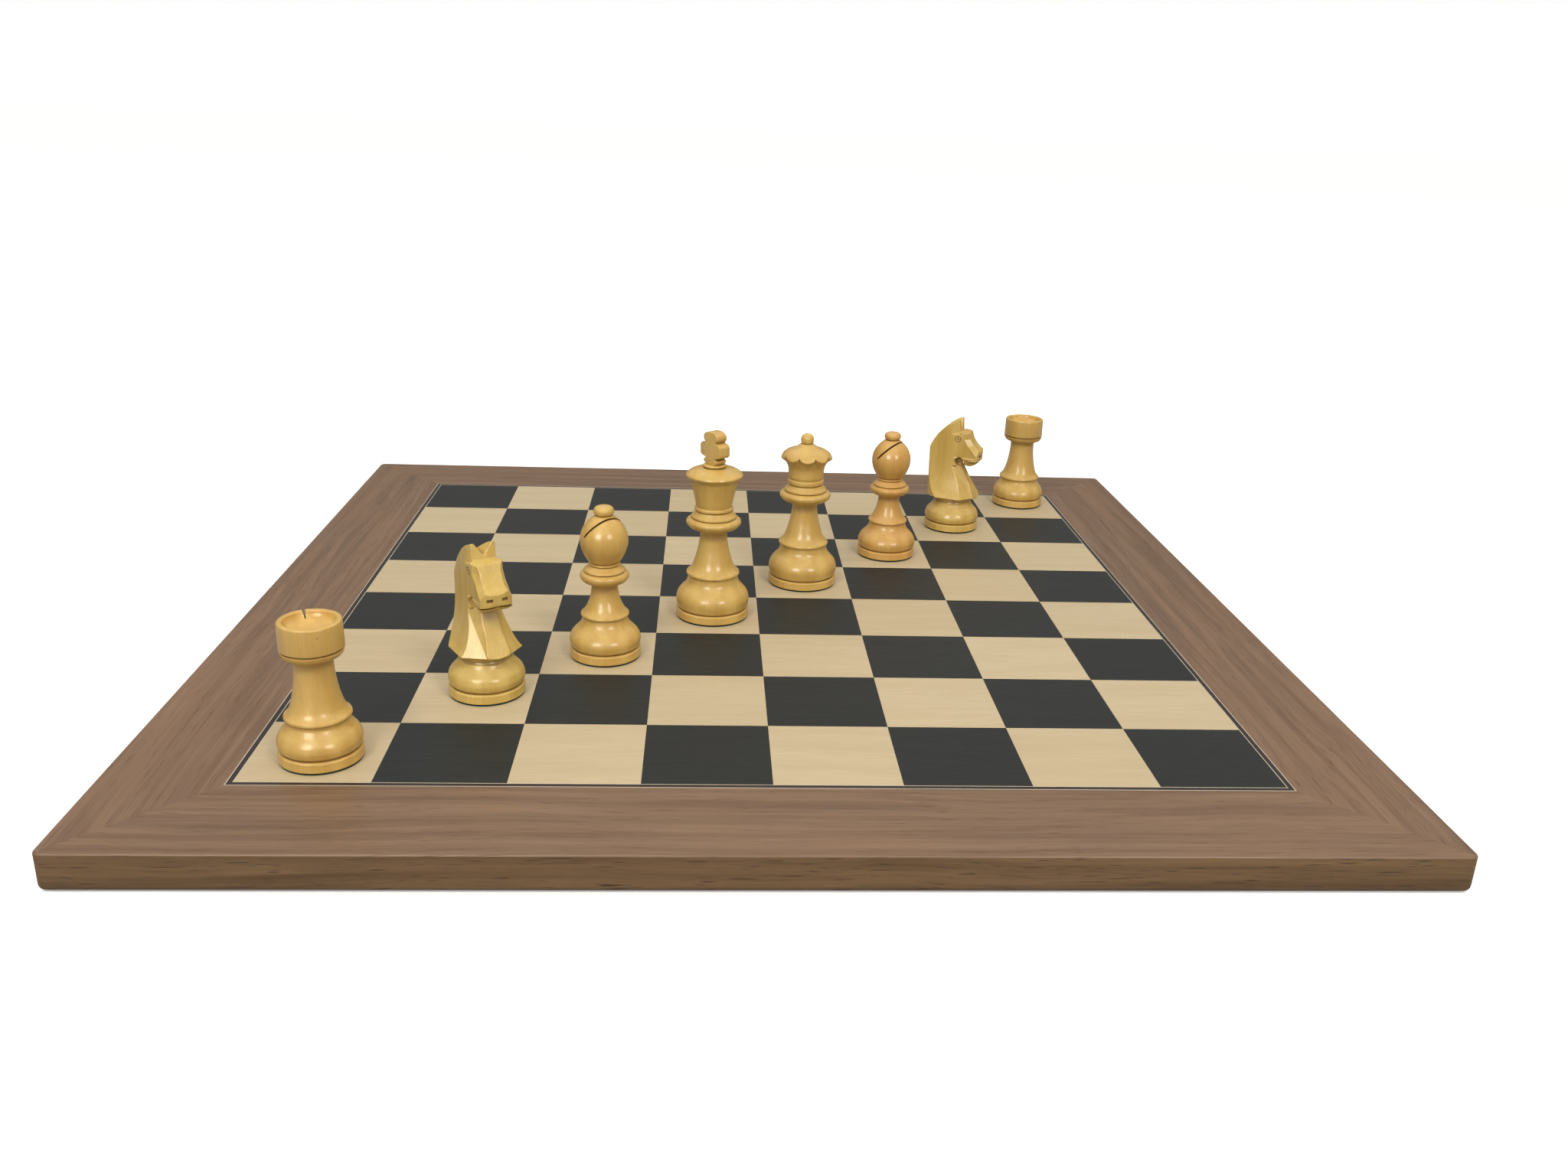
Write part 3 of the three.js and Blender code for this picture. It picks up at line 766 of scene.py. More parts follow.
def combine(shape, cutters, operation="DIFFERENCE"):
    """Cuts a shape with each of the cutters, or joins them on, or keeps what they have in common."""
    worked = as_object(shape, "work")
    tools = []
    for number, cutter in enumerate(cutters):
        tool = as_object(cutter, "cutter_" + str(number))
        tools.append(tool)
        step = worked.modifiers.new(tool.name, "BOOLEAN")
        step.operation = operation
        step.solver = "EXACT"
        step.object = tool
    result = apply_modifiers(worked)
    for tool in tools:
        mesh = tool.data
        bpy.data.objects.remove(tool)
        bpy.data.meshes.remove(mesh)
    return result


def block(width, depth, height, centre=(0, 0, 0)):
    """A plain box in millimetres, for use as a cutter."""
    shape = bmesh.new()
    bmesh.ops.create_cube(shape, size=1.0)
    bmesh.ops.scale(shape, vec=(width, depth, height), verts=shape.verts)
    bmesh.ops.translate(shape, vec=centre, verts=shape.verts)
    return shape


def peg(radius, height, centre=(0, 0, 0), segments=32):
    """A plain round bar in millimetres, upright, for use as a cutter or a dowel hole."""
    shape = bmesh.new()
    bmesh.ops.create_cone(
        shape, cap_ends=True, segments=segments, radius1=radius, radius2=radius, depth=height
    )
    bmesh.ops.translate(shape, vec=centre, verts=shape.verts)
    return shape


print("boolean helper ready")

# %% [markdown]
# ## The foot that all chessmen share
# Each stands on a flat disc with a groove above it, and over that a bulge that narrows to a neck.
# Only the sizes differ, so one function writes the outline from a few of them. The hollow for the
# iron weight is turned into the underside, where the felt hides it.

# %% Feet
FELT = 1.0
GROOVE_DEPTH = 1.5
GROOVE_HEIGHT = 5.2
FEET = {
    "royal": {
        "radius": 18.0,
        "weight": (11.3, 12.3),
        "bulge": [
            (18.05, 9), (17.9, 11), (17.1, 13.1), (15.6, 15), (14, 16.7),
            (12.9, 18.5), (12.4, 20.4), (12.35, 21.6),
        ],
    },
    "bishop": {
        "radius": 16.2,
        "weight": (9.3, 10.3),
        "bulge": [
            (16.3, 8.5), (16, 10.3), (15.1, 12), (13.6, 13.7), (12.1, 15.2),
            (11, 16.8), (10.4, 18.4), (10.2, 19.6),
        ],
    },
    "rook": {
        "radius": 15.9,
        "weight": (9.8, 9.3),
        "bulge": [
            (15.95, 8), (15.85, 9.4), (15.3, 11), (14.4, 12.5), (13.3, 13.8),
            (12.5, 15), (11.9, 16.2), (11.8, 17.4),
        ],
    },
    "knight": {
        "radius": 16.2,
        "weight": (9.8, 8.3),
        "bulge": [(16.3, 8), (16.1, 9.5), (15.3, 11.6), (13.8, 13.3), (12.4, 14.9), (11.5, 16.5)],
    },
}


def foot_runs(kind, inner=0.0):
    """The outline from the weight's hollow, round the disc and the bulge, up to the neck.

    It starts at the radius `inner`: on the axis, or at the wall of a hole that runs down it.
    """
    foot = FEET[kind]
    radius = foot["radius"]
    hollow_shade, ceiling = foot["weight"]
    groove = (radius - GROOVE_DEPTH, GROOVE_HEIGHT)
    return [
        [(inner, ceiling), (hollow_shade, ceiling)],
        [(hollow_shade, ceiling), (hollow_shade, FELT)],
        [(hollow_shade, FELT), (radius, FELT)],
        [(radius, FELT), (radius, 4.0), (radius - 0.12, 4.5), (radius - 0.6, 4.95)],
        [(radius - 0.6, 4.95), groove],
        [groove, (radius - 0.45, 6.2), *foot["bulge"]],
    ]


for kind, foot in FEET.items():
    print(kind, "foot:", foot["radius"], "mm radius,", foot["bulge"][-1][1], "mm high")

# %% [markdown]
# ## King and queen
# Both have the same stem: a thin collar over the foot, a long tapering column, a wide saucer with a
# smaller step on it, and a bead. The king ends in a flared cup with a thick lip, the queen in a
# coronet with a ball.

# %% The royal stem and the king's body
ROYAL_STEM = [
    [(12.35, 21.6), (12.3, 22.0)],
    [(12.3, 22.0), (13.0, 22.3)],
    [(13.0, 22.3), (13.15, 22.8), (12.95, 23.5)],
    [(12.95, 23.5), (12.1, 24.2), (11.2, 25.1), (10.3, 26.5), (9.5, 28.4), (8.6, 31.5), (7.7, 35), (7.0, 39),
     (6.6, 42), (6.55, 43.4), (7.0, 44.3), (8.3, 44.9)],
    [(8.3, 44.9), (11.2, 46.2), (12.9, 47.6), (13.45, 48.9), (13.2, 50.0), (12.3, 50.8)],
    [(12.3, 50.8), (10.4, 51.2)],
    [(10.4, 51.2), (11.1, 51.5)],
    [(11.1, 51.5), (10.95, 52.4), (9.9, 53.5), (9.3, 54.6)],
    [(9.3, 54.6), (8.6, 54.9)],
]
KING_TOP = [
    [(8.6, 54.9), (9.3, 55.2), (9.5, 55.9), (9.3, 56.6), (8.6, 57.0)],
    [(8.6, 57.0), (9.05, 58.5), (9.5, 61), (10.2, 64), (11.0, 67.4), (11.6, 69.8)],
    [(11.6, 69.8), (13.5, 71.9)],
    [(13.5, 71.9), (13.9, 72.5), (13.7, 73.2)],
    [(13.7, 73.2), (12.3, 74.4), (10.6, 75.3), (8, 76.1), (5, 76.5)],
    [(5, 76.5), (4.9, 76.7)],
    [(4.9, 76.7), (5.6, 77.0), (5.6, 77.6), (5.0, 78)],
    [(5.0, 78), (2.3, 78)],
    [(2.3, 78), (2.3, 72.7)],
    [(2.3, 72.7), (0, 72.7)],
]
king_body = turned(foot_runs("royal") + ROYAL_STEM + KING_TOP)
print("king's body:", len(king_body.faces), "faces")
add_wood("king_turned", king_body, "king", "king_body")

# %% [markdown]
# ## The king's cross
# The cross is cut separately and pegged in. It is a chunky one: as thick as a pencil, with stubby
# chamfered arms and a rounded top. Half of its outline is enough, because the other half is the
# mirror image. The outline becomes one face, Extrude gives it its thickness, and a bevel takes the
# sharpness off.

# %% Cut the cross
CROSS_BOTTOM = 78.0
CROSS_THICKNESS = 6.4
CROSS_HEADING = -50
TENON_RADIUS = 2.0
TENON_LENGTH = 6.0
CROSS_HALF = [
    (3.2, 0), (4.7, 1.2), (4.9, 2.0), (3.4, 3.3), (6.3, 3.9), (7.3, 5.0), (7.3, 9.1), (6.3, 10.3),
    (3.6, 10.9), (4.7, 11.9), (5.0, 13.2), (4.5, 14.6), (3.3, 15.5), (1.6, 15.95),
]


def plate(points, thickness):
    """A flat plate from an outline of (x, height) points, centred on the plane y = 0."""
    shape = bmesh.new()
    rim = [shape.verts.new((x, -thickness / 2, z)) for x, z in points]
    face = shape.faces.new(rim)
    grown = bmesh.ops.extrude_face_region(shape, geom=[face])["geom"]
    moved = [part for part in grown if isinstance(part, bmesh.types.BMVert)]
    bmesh.ops.translate(shape, vec=(0, thickness, 0), verts=moved)
    bmesh.ops.recalc_face_normals(shape, faces=shape.faces[:])
    return shape


cross_rim = CROSS_HALF + [(-x, z) for x, z in reversed(CROSS_HALF)]
cross = plate([(x, z + CROSS_BOTTOM) for x, z in cross_rim], CROSS_THICKNESS)
round_edges(cross, cross.edges[:], 0.35, 3)
cross = combine(cross, [peg(TENON_RADIUS, TENON_LENGTH, (0, 0, CROSS_BOTTOM - 2.0))], "UNION")
add_wood("king_cross_carved", cross, "king", "king_cross", CROSS_HEADING)
print("cross:", CROSS_THICKNESS, "mm thick")

# %% [markdown]
# ## The queen's coronet
# The coronet is turned as a flared rim, and then nine petals are carved into it: between two petals
# the edge is pushed in and up, most at the very rim and not at all further in. Cutting notches with
# Booleans gives teeth, and a Displace modifier needs a texture, so each point near the rim is moved
# by a short formula of its angle: a soft wave, and a sharper crease where two petals meet. A finer
# lathe gives every petal twenty steps.

# %% Turn and carve the queen
QUEEN_TOP = [
    [(8.6, 54.9), (9.35, 55.3), (9.55, 56.3), (9.4, 57.4), (8.7, 57.9)],
    [(8.7, 57.9), (9.15, 58.8), (9.25, 60), (9.3, 62), (9.6, 64), (10.3, 65.8), (11.3, 67.3), (13.3, 68.6)],
    [(13.3, 68.6), (13.5, 69.2), (12.9, 70.3), (12.0, 71.4), (10.8, 72.5), (9.4, 73.2), (7.8, 73.7),
     (6.2, 74.4), (4.8, 75.3), (3.7, 76.2)],
    [(3.7, 76.2), (2.6, 76.5)],
    [(2.6, 76.5), (3.2, 77.2), (3.4, 78.7), (3.0, 80.2), (1.8, 81.4), (0, 81.8)],
]
QUEEN_HEADING = 8
PETALS = 9
PETAL_STEPS = 20
PETAL_RIM = 68.9
PETAL_RADIUS = 13.2
PETAL_LOWEST = 64
PETAL_REACH = 3.6
PETAL_IN = 0.9
PETAL_UP = 1.6


def carve_petals(shape):
    """Pushes the rim in and up between petals."""
    for vert in shape.verts:
        radius = math.hypot(vert.co.x, vert.co.y)
        away = math.hypot((vert.co.z - PETAL_RIM) * 0.9, (PETAL_RADIUS - radius) * 0.8)
        if vert.co.z < PETAL_LOWEST or away > PETAL_REACH:
            continue
        turn = math.atan2(vert.co.y, vert.co.x) * PETALS / 2
        soft_wave = 0.3 * (1 + math.cos(2 * turn))
        crease = 0.7 * (1 - abs(math.sin(turn))) ** 4
        share = (soft_wave + crease) * (1 - away / PETAL_REACH) ** 1.3
        inward = 1 - PETAL_IN * share / radius
        vert.co = (vert.co.x * inward, vert.co.y * inward, vert.co.z + PETAL_UP * share)


queen_body = turned(foot_runs("royal") + ROYAL_STEM + QUEEN_TOP, steps=PETAL_STEPS * PETALS)
carve_petals(queen_body)
add_wood("queen_turned", queen_body, "queen", "queen_body", QUEEN_HEADING)
print("petals in the coronet:", PETALS)

# %% [markdown]
# ## The bishops
# An egg-shaped head with a button on top, and one saw cut that slopes down into it. The lathe makes
# both bishops alike, but the cut is sawn by hand, so each has its own slope and depth.

# %% Turn and saw the bishops
BISHOP_RUNS = [
    [(10.2, 19.6), (10.15, 19.9)],
    [(10.15, 19.9), (10.85, 20.2)],
    [(10.85, 20.2), (11.0, 20.7), (10.8, 21.3)],
    [(10.8, 21.3), (10.0, 22.0), (9.2, 23), (8.3, 24.6), (7.2, 27.2), (6.4, 30), (6.0, 33), (5.95, 34.4),
     (6.4, 35.2), (7.5, 35.7)],
    [(7.5, 35.7), (9.8, 36.9), (10.8, 38.0), (11.1, 39.2), (10.8, 40.3), (10.1, 40.9)],
    [(10.1, 40.9), (8.8, 41.3)],
    [(8.8, 41.3), (9.4, 41.6)],
    [(9.4, 41.6), (9.15, 42.4), (8.0, 43.3), (7.25, 44.1)],
    [(7.25, 44.1), (6.6, 44.4)],
    [(6.6, 44.4), (7.1, 44.7), (7.15, 45.3), (6.5, 45.8)],
    [(6.5, 45.8), (7.6, 46.7), (8.7, 48.4), (9.8, 50.7), (10.55, 53.2), (10.85, 55.8), (10.65, 58.2),
     (9.95, 60.5), (8.8, 62.6), (7.4, 64.4), (6, 65.8), (4.7, 66.9), (3.5, 67.6)],
    [(3.5, 67.6), (4.3, 68.2), (4.6, 69.4), (4.2, 70.7), (2.8, 71.6), (0, 71.9)],
]
KERF = 1.0
BLADE_DEPTH = 20
SAW_CUTS = {
    "bishop_1": {"heading": 40, "tilt": 57, "height": 59.2, "past_axis": 0.8},
    "bishop_2": {"heading": 50, "tilt": 49, "height": 60.7, "past_axis": 4.2},
}
for man, cut in SAW_CUTS.items():
    saw_blade = block(2 * BLADE_DEPTH, BLADE_DEPTH, KERF, (0, cut["past_axis"] - BLADE_DEPTH / 2, 0))
    lean = Matrix.Rotation(math.radians(-cut["tilt"]), 4, "X")
    saw_blade.transform(Matrix.Translation((0, 0, cut["height"])) @ lean)
    bishop_body = combine(turned(foot_runs("bishop") + BISHOP_RUNS), [saw_blade])
    add_wood(man + "_turned", bishop_body, man, man + "_body", cut["heading"])
print("saw cut:", KERF, "mm wide")

# %% [markdown]
# ## The rooks
# A plain tower with a dished top and a sharp groove under its wall. The near rook has been handled
# roughly: a small split in the back of its rim and a tiny dent in front. They are worth making,
# because small faults tell the eye that a piece is real wood.

# %% Turn the rooks
WALL_OUTSIDE = 11.8
WALL_INSIDE = 9.5
ROOK_RUNS = [
    [(11.8, 17.4), (11.75, 17.7)],
    [(11.75, 17.7), (12.5, 18.0)],
    [(12.5, 18.0), (12.65, 18.5), (12.45, 19.2)],
    [(12.45, 19.2), (11.7, 19.9), (10.9, 20.9), (10.1, 22.5), (9, 26.2), (8.3, 29.7), (7.8, 33), (7.45, 37),
     (7.35, 40.6)],
    [(7.35, 40.6), (7.55, 41.5), (8.6, 42.3), (10.4, 43.0), (11.4, 43.9), (11.9, 45.4)],
    [(11.9, 45.4), (11.0, 45.7)],
    [(11.0, 45.7), (11.0, 46.1)],
    [(11.0, 46.1), (12.0, 46.4)],
    [(12.0, 46.4), (WALL_OUTSIDE, 56.2)],
    [(WALL_OUTSIDE, 56.2), (11.6, 56.7), (11.1, 56.95), (10.5, 57), (9.9, 56.9), (WALL_INSIDE, 56.4)],
    [(WALL_INSIDE, 56.4), (9.2, 55.4), (8.3, 54.2), (6, 53.5), (3, 53.1), (0, 53)],
]
SPLIT_HEADING = 26
SPLIT_PLACE = (0, 10.6, 0)
DENT_PLACE = (5.8, -10.7, 53.3)
DENT_RADIUS = 0.6
for man in ("rook_1", "rook_2"):
    rook_body = turned(foot_runs("rook") + ROOK_RUNS)
    if man == "rook_1":
        split = plate([(-0.2, 54.0), (0.15, 54.0), (0.6, 57.5), (-0.85, 57.5)], 5.0)
        turn = Matrix.Rotation(math.radians(SPLIT_HEADING), 4, "Z")
        split.transform(turn @ Matrix.Translation(SPLIT_PLACE))
        dent = bmesh.new()
        bmesh.ops.create_icosphere(dent, subdivisions=3, radius=DENT_RADIUS)
        bmesh.ops.translate(dent, vec=DENT_PLACE, verts=dent.verts)
        rook_body = combine(rook_body, [split, dent])
    add_wood(man + "_turned", rook_body, man, man + "_body")
print("rook wall:", round(WALL_OUTSIDE - WALL_INSIDE, 1), "mm thick")

# %% [markdown]
# ## The knights
# A knight is carved, not turned, and a carver starts from a block with the side view and the front
# view drawn on it. The script does the same: it keeps what both outlines have in common, and then
# takes chips off with flat cuts. A chip is the convex hull of a few corner points, and each cut is
# made on both sides. Last comes sanding: a voxel remesh gives even small faces, and a little
# smoothing rounds every edge. Subdivision modelling is the usual way to a horse's head, but these
# heads are cut with knives and have real facets.

# %% The block for a knight's head
SEAT = 20.8
SIDE_RUNS = [
    [(-14.4, SEAT - 1), (-15.5, 28), (-16.2, 38), (-16.1, 44), (-15.2, 49.6), (-13, 54.6), (-9.9, 59.4),
     (-6, 63.6), (-3, 65.9), (-0.6, 67.2)],
    [(-0.6, 67.2), (2.1, 68.2)],
    [(2.1, 68.2), (2.7, 61.0)],
    [(2.7, 61.0), (3.5, 60.9), (8, 60.4)],
    [(8, 60.4), (9.6, 56.7), (12.2, 53.1), (15.4, 50.2)],
    [(15.4, 50.2), (16.3, 48.8), (16.3, 46), (15.2, 43.7), (12.8, 41.8), (10.2, 40.7), (7.6, 41),
     (5.4, 42.6)],
    [(5.4, 42.6), (4.0, 42.6)],
    [(4.0, 42.6), (4.6, 40.6), (7, 35.4), (10.2, 30), (13.3, 25), (16.2, SEAT - 1)],
]
HALF_WIDTHS = [
    (14.6, SEAT - 1), (13.9, SEAT), (12.0, 23.4), (10.3, 26.9), (8.9, 30.8), (7.9, 34.8), (7.3, 39),
    (7.0, 44), (6.9, 50), (6.8, 60), (6.5, 65), (6.0, 70),
]
REACH = 20.0
ENVELOPE_HEIGHT = 60


def side_points():
    """The side outline as one closed loop of (forward, height) points."""
    points = []
    for run in SIDE_RUNS:
        curve = [(knot.x, knot.z) for knot in smooth_run(run)]
        points += curve[:-1]
    return points + [SIDE_RUNS[-1][-1]]


def head_block():
    """What the side view, the front view and a turned envelope have in common."""
    from_side = plate(side_points(), 2 * REACH)
    half = [(knot.x, knot.z) for knot in smooth_run(HALF_WIDTHS)]
    from_front = plate(half + [(-x, z) for x, z in reversed(half)], 2 * REACH)
    from_front.transform(Matrix.Rotation(math.pi / 2, 4, "Z"))
    envelope = bmesh.new()
    bmesh.ops.create_cone(
        envelope, cap_ends=True, segments=96, radius1=15.6, radius2=16.6, depth=ENVELOPE_HEIGHT
    )
    bmesh.ops.translate(envelope, vec=(0, 0, SEAT + ENVELOPE_HEIGHT / 2), verts=envelope.verts)
    return combine(from_side, [from_front, envelope], "INTERSECT")


def chip(corners, hand=1):
    """The convex hull round corner points (forward, sideways, height), or its mirror image."""
    shape = bmesh.new()
    for x, y, z in corners:
        shape.verts.new((x, hand * y, z))
    hull = bmesh.ops.convex_hull(shape, input=shape.verts[:])
    loose = [part for part in hull["geom_interior"] if isinstance(part, bmesh.types.BMVert)]
    bmesh.ops.delete(shape, geom=loose, context="VERTS")
    bmesh.ops.recalc_face_normals(shape, faces=shape.faces[:])
    return shape


def face_chip(upper, lower):
    """Corners of one stretch of the bevel that narrows the face, between two rows of FACE_CUTS."""
    corners = []
    for z, back, front, half_width in (upper, lower):
        clear = front + 4
        corners += [(back, HEAD_SIDE, z), (front, half_width, z), (back, OUTSIDE, z)]
        corners += [(clear, OUTSIDE, z), (clear, half_width + 0.5, z)]
    return corners


print("side outline:", len(side_points()), "points")

# %% [markdown]
# ## The cuts in the head
# The chest is chamfered on both sides down to its foot, the face narrows between eye and muzzle,
# each ear gets a flat outer side, and a notch runs between the ears all the way to the mane. Two
# gouges free the throat under the jaw. The face is bevelled in three stretches, one below the other.
# Each row of FACE_CUTS is where two of them meet: its height, how far forward the bevel starts on
# the cheek, how far forward it ends on the face, and half the width of the face there.

# %% Chips that shape the head
HEAD_SIDE = 6.95
OUTSIDE = 9
CHEST = [(15.25, 4.8, SEAT - 1.5), (8.0, 14.1, SEAT - 1.5), (-0.8, 7.3, 40.4), (4.8, 2.8, 40.4),
         (22, 17, SEAT - 1.5), (22, 17, 40.4)]
EAR = [(-2.4, HEAD_SIDE, 59.3), (-2.4, HEAD_SIDE, 71), (3.4, 4.9, 60.6), (3.4, 4.7, 71),
       (3.4, OUTSIDE, 59.3), (3.4, OUTSIDE, 71)]
CHEEK = [(2.0, 6.9, 58.6), (0.6, 6.4, 45.4), (13.6, 6.5, 45.6), (4.6, 6.9, 59.6),
         (2.0, OUTSIDE, 58.6), (0.6, OUTSIDE, 45.4), (14, OUTSIDE, 45.6), (4.6, OUTSIDE, 59.6)]
FACE_CUTS = [(62, 5.4, 8.3, 5.6), (57, 5.6, 9.8, 4.3), (53, 8.4, 12.6, 4.1), (48.2, 13.4, 16.8, 6.0)]
NOTCH = [(-20, 0, 62.4), (5, 0, 62.4), (-20, 5.6, 70.5), (5, 5.6, 70.5), (-20, -5.6, 70.5),
         (5, -5.6, 70.5)]
JAW = [(5.8, 7.2, 45.2), (16, 7.2, 41.2), (5.8, 5.0, 39.6), (14, 4.4, 39.6), (5.8, OUTSIDE, 39),
       (17, OUTSIDE, 39), (17, OUTSIDE, 45)]
THROAT_RADIUS = 2.8
THROAT_CENTRE = (3.7, 42.9)


def throat_gouge(hand):
    """A round cutter that comes in from the side and stops short of the middle."""
    shape = peg(THROAT_RADIUS, 12.0, segments=40)
    shape.transform(Matrix.Rotation(math.pi / 2, 4, "X"))
    bmesh.ops.translate(shape, vec=(THROAT_CENTRE[0], hand * 8.0, THROAT_CENTRE[1]), verts=shape.verts)
    return shape


def sanded(shape, voxel=0.25, passes=2):
    """Even small faces all over, with every edge a little rounded."""
    worked = as_object(shape, "sanding")
    remesh = worked.modifiers.new("even faces", "REMESH")
    remesh.mode = "VOXEL"
    remesh.voxel_size = voxel
    smooth = worked.modifiers.new("sandpaper", "SMOOTH")
    smooth.factor = 0.5
    smooth.iterations = passes
    return apply_modifiers(worked)


rough_head = head_block()
chips = [chip(NOTCH)]
for hand in (-1, 1):
    chips += [chip(corners, hand) for corners in (CHEST, EAR, CHEEK, JAW)]
    chips += [chip(face_chip(*rows), hand) for rows in zip(FACE_CUTS, FACE_CUTS[1:])]
    chips.append(throat_gouge(hand))
rough_head = combine(rough_head, chips)
print("carved block:", len(rough_head.faces), "faces from", len(chips), "cuts")
smooth_head = sanded(rough_head)
print("sanded head:", len(smooth_head.faces), "faces")

# %% [markdown]
# ## Eyes, nostrils and mouth
# These come after the sanding, because they are sharper than its faces are wide. An eye is a ring
# cut by a hollow drill with a dot in its middle, a nostril is a short slot, and the mouth is one
# stroke of a knife on each side.

# %% Fine cuts
EYE = (2.2, 56.9)
EYE_RING = (1.4, 1.85)
RING_DEPTH = 6.55
DOT_DEPTH = 6.4
NOSTRIL_SIZE = (3.4, 2.6, 1.3)
DOWEL_HOLE = 3.3


def eye_cutters(hand):
    """A ring and a dot, pressed into the cheek from the side."""
    inner, outer = EYE_RING
    rim = [(inner, 0), (outer, 0), (outer, 3), (inner, 3), (inner, 0)]
    ring_runs = [list(side) for side in zip(rim, rim[1:])]
    ring = turned(ring_runs, softness=0.1, closed=True, steps=40)
    dot = peg(0.65, 3.0, (0, 0, 1.5), segments=24)
    facing = Matrix.Rotation(-hand * math.pi / 2, 4, "X")
    for shape, depth in ((ring, RING_DEPTH), (dot, DOT_DEPTH)):
        shape.transform(Matrix.Translation((EYE[0], hand * depth, EYE[1])) @ facing)
    return [ring, dot]


def nostril_cutter(hand):
    """A short slot in the front of the muzzle."""
    return block(*NOSTRIL_SIZE, (16.4, hand * 3.3, 47.2))


def mouth_cutter(hand):
    """A thin wedge along the lips, which starts at the front of the muzzle."""
    return chip(
        [(17, 8, 44.4), (17, 8, 43.6), (10.5, 8, 43.5), (10.5, 8, 43.1), (17, 0, 44.4), (17, 0, 43.6),
         (14.9, 0, 44.0), (10.9, 5.7, 43.3)],
        hand,
    )


fine_cuts = [peg(DOWEL_HOLE, 8.0, (0, 0, SEAT + 2.3))]
for hand in (-1, 1):
    fine_cuts += eye_cutters(hand) + [nostril_cutter(hand), mouth_cutter(hand)]
seat_cut = block(50, 50, 10, (0, 0, SEAT - 5))
knight_head = combine(smooth_head, [seat_cut] + fine_cuts)
print("finished head:", len(knight_head.faces), "faces")

# %% Place the knights
KNIGHT_RING = [
    [(11.5, 16.5), (10.9, 17.2), (10.6, 17.9)],
    [(10.6, 17.9), (11.4, 18.3), (11.7, 19.4), (11.5, 20.4), (11.1, SEAT)],
    [(11.1, SEAT), (DOWEL_HOLE, SEAT)],
    [(DOWEL_HOLE, SEAT), (DOWEL_HOLE, FEET["knight"]["weight"][1])],
]
KNIGHT_HEADINGS = {"knight_1": -59, "knight_2": -25}
for man, heading in KNIGHT_HEADINGS.items():
    add_wood(man + "_carved", knight_head.copy(), man, man + "_head", heading, sharp_angle=50)
    base = turned(foot_runs("knight", inner=DOWEL_HOLE) + KNIGHT_RING)
    add_wood(man + "_turned", base, man, man + "_base")
knight_head.free()
print("knights placed")

# %% [markdown]
# ## Felts
# A disc of green felt under each chessman, cut a little smaller than the foot, with a soft edge. It
# is turned like the wood, but its corners are much rounder, because scissors squeeze the cloth.

# %% Felt discs
for man in MEN:
    low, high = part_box(man + "_felt")
    radius = (high.x - low.x) / 2 / MM
    felt_runs = [
        [(0, 0), (radius, 0)],
        [(radius, 0), (radius + 0.1, FELT / 2), (radius - 0.05, FELT)],
        [(radius - 0.05, FELT), (0, FELT)],
    ]
    disc = turned(felt_runs, softness=0.3)
    add_piece(man + "_felt_disc", set_down(disc, man), felt_and_shadow_finish, man, [man + "_felt"])
print("felt discs:", len(MEN))

# %% [markdown]
# ## Studio
# Plain soft light: a pale dome that is brighter overhead than round the sides, two lamps in front,
# to the left and the right, and a wide weak one behind the camera. Two low lamps do nothing but draw
# the two highlights on every foot. The floor is a plain pale sheet. Only the camera sees it white,
# with a faint glow of its own; the light it throws back at the set is a dull grey's.

# %% Light the studio
DOME_LOW = 0.1
DOME_HIGH = 1.05
LAMP_AIM = Vector((0, 0, 0.03))
FLOOR_GLOW = 0.3
world = bpy.data.worlds.new("studio")
world.use_nodes = True
bpy.context.scene.world = world
sky = world.node_tree
direction = sky.nodes.new("ShaderNodeTexCoord").outputs["Generated"]
height = add_node(sky, "ShaderNodeSeparateXYZ", {0: direction}).outputs[2]
strength = spread(sky, height, 0.0, 1.0, DOME_LOW, DOME_HIGH)
dome = sky.nodes["Background"]
dome.inputs["Color"].default_value = (1.0, 0.97, 0.93, 1.0)
sky.links.new(strength, dome.inputs["Strength"])
backdrop = add_node(sky, "ShaderNodeBackground", {"Color": (1, 1, 1, 1), "Strength": 1.0})
seen = sky.nodes.new("ShaderNodeLightPath").outputs["Is Camera Ray"]
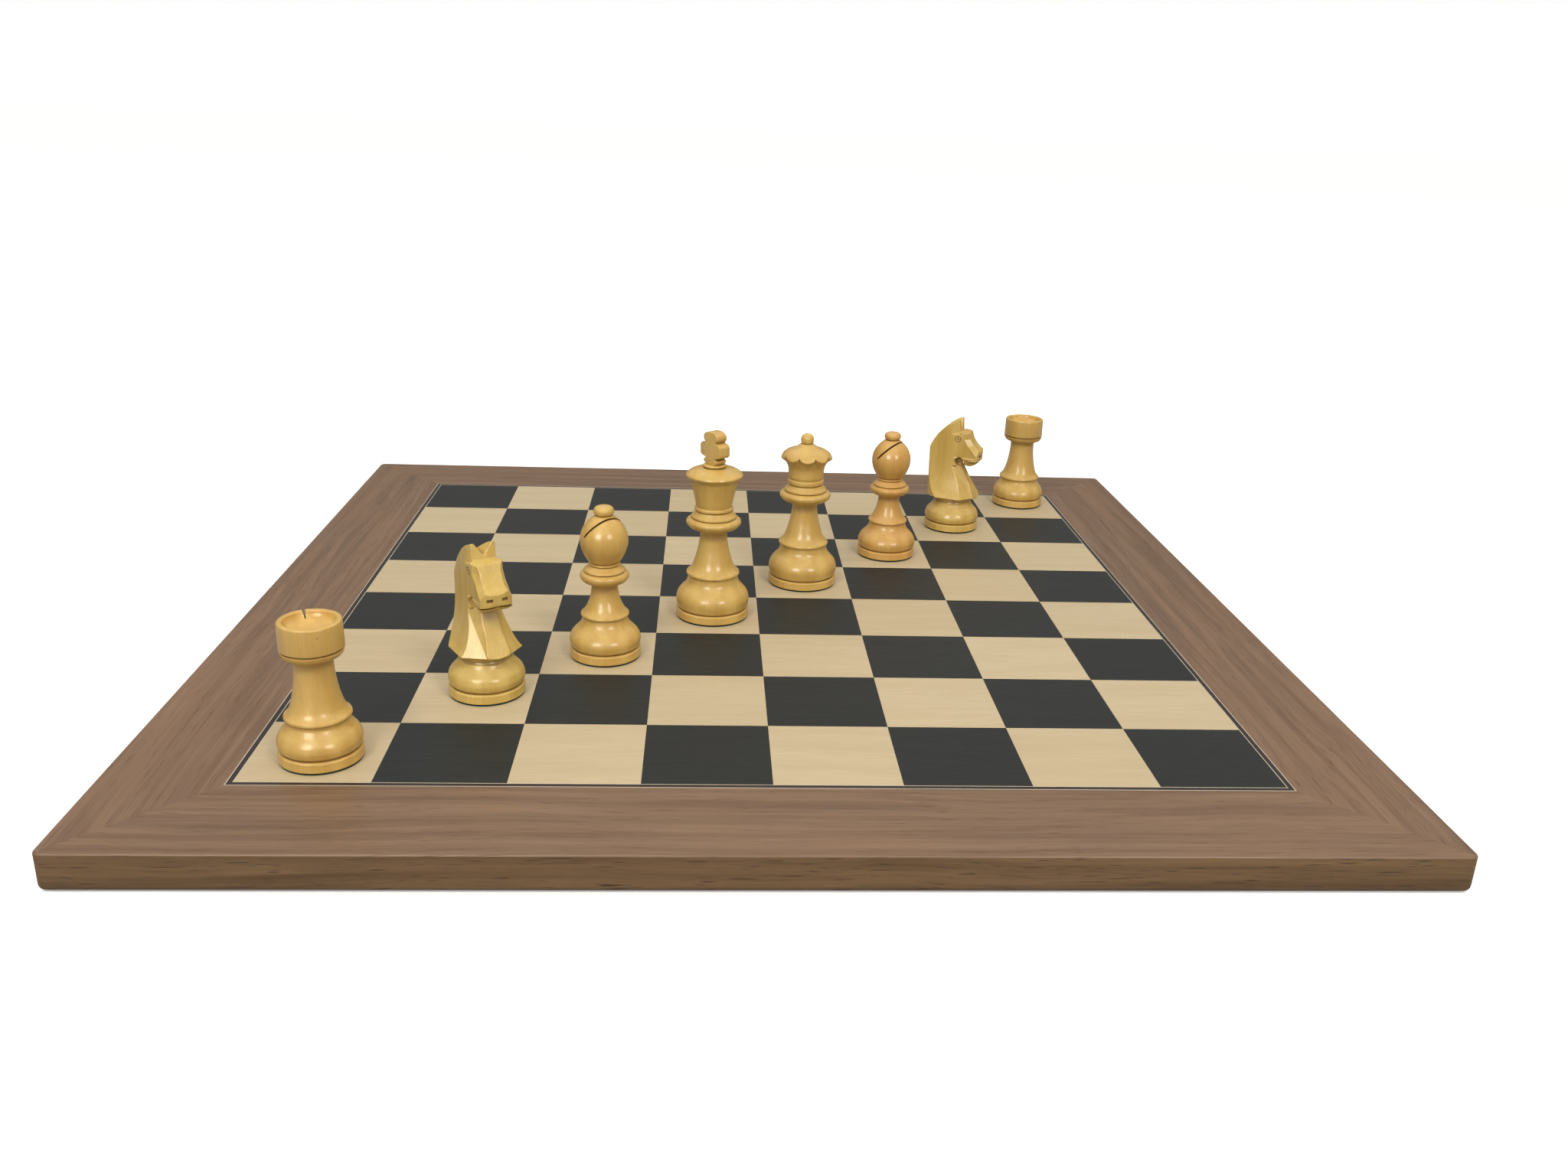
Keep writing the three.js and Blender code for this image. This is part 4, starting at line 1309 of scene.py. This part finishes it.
both = add_node(sky, "ShaderNodeMixShader", {0: seen, 1: dome.outputs[0], 2: backdrop.outputs[0]})
sky.links.new(both.outputs[0], sky.nodes["World Output"].inputs["Surface"])


def soft_lamp(name, place, width, power, role="both"):
    """A square lamp that shines at the middle of the board; its role is diffuse, glossy or both."""
    light = bpy.data.lights.new(name, "AREA")
    light.size = width
    light.energy = power
    light.color = (1.0, 0.96, 0.9)
    lamp = bpy.data.objects.new(name, light)
    lamp.location = place
    lamp.rotation_euler = (LAMP_AIM - Vector(place)).to_track_quat("-Z", "Y").to_euler()
    lamp.visible_diffuse = role != "glossy"
    lamp.visible_glossy = role != "diffuse"
    bpy.context.scene.collection.objects.link(lamp)


soft_lamp("left_window", (-0.5, -1.0, 1.2), 0.3, 6, "diffuse")
soft_lamp("right_window", (0.55, -0.98, 1.2), 0.3, 6.5, "diffuse")
soft_lamp("front_fill", (0.1, -2.4, 1.7), 2.0, 5)
soft_lamp("left_glint", (-0.62, -1.24, 0.68), 0.55, 11, "glossy")
soft_lamp("right_glint", (0.68, -1.21, 0.68), 0.45, 7, "glossy")

floor_shape = bmesh.new()
bmesh.ops.create_grid(floor_shape, x_segments=1, y_segments=1, size=12.0)
floor = as_object(floor_shape, "floor")
floor_finish = bpy.data.materials.new("pale_floor")
floor_finish.use_nodes = True
floor_tree = floor_finish.node_tree
floor_shader = floor_tree.nodes["Principled BSDF"]
floor_shader.inputs["Roughness"].default_value = 0.9
floor_seen = floor_tree.nodes.new("ShaderNodeLightPath").outputs["Is Camera Ray"]
floor_tint = mix_colour(floor_tree, floor_seen, (0.4, 0.4, 0.4, 1.0), (1.0, 1.0, 1.0, 1.0))
floor_tree.links.new(floor_tint, floor_shader.inputs["Base Color"])
floor_glow = math_node(floor_tree, "MULTIPLY", floor_seen, FLOOR_GLOW)
floor_shader.inputs["Emission Color"].default_value = (1.0, 1.0, 1.0, 1.0)
floor_tree.links.new(floor_glow, floor_shader.inputs["Emission Strength"])
floor.data.materials.append(floor_finish)
floor.location.z = -0.0005
print("lamps:", len(bpy.data.lights))
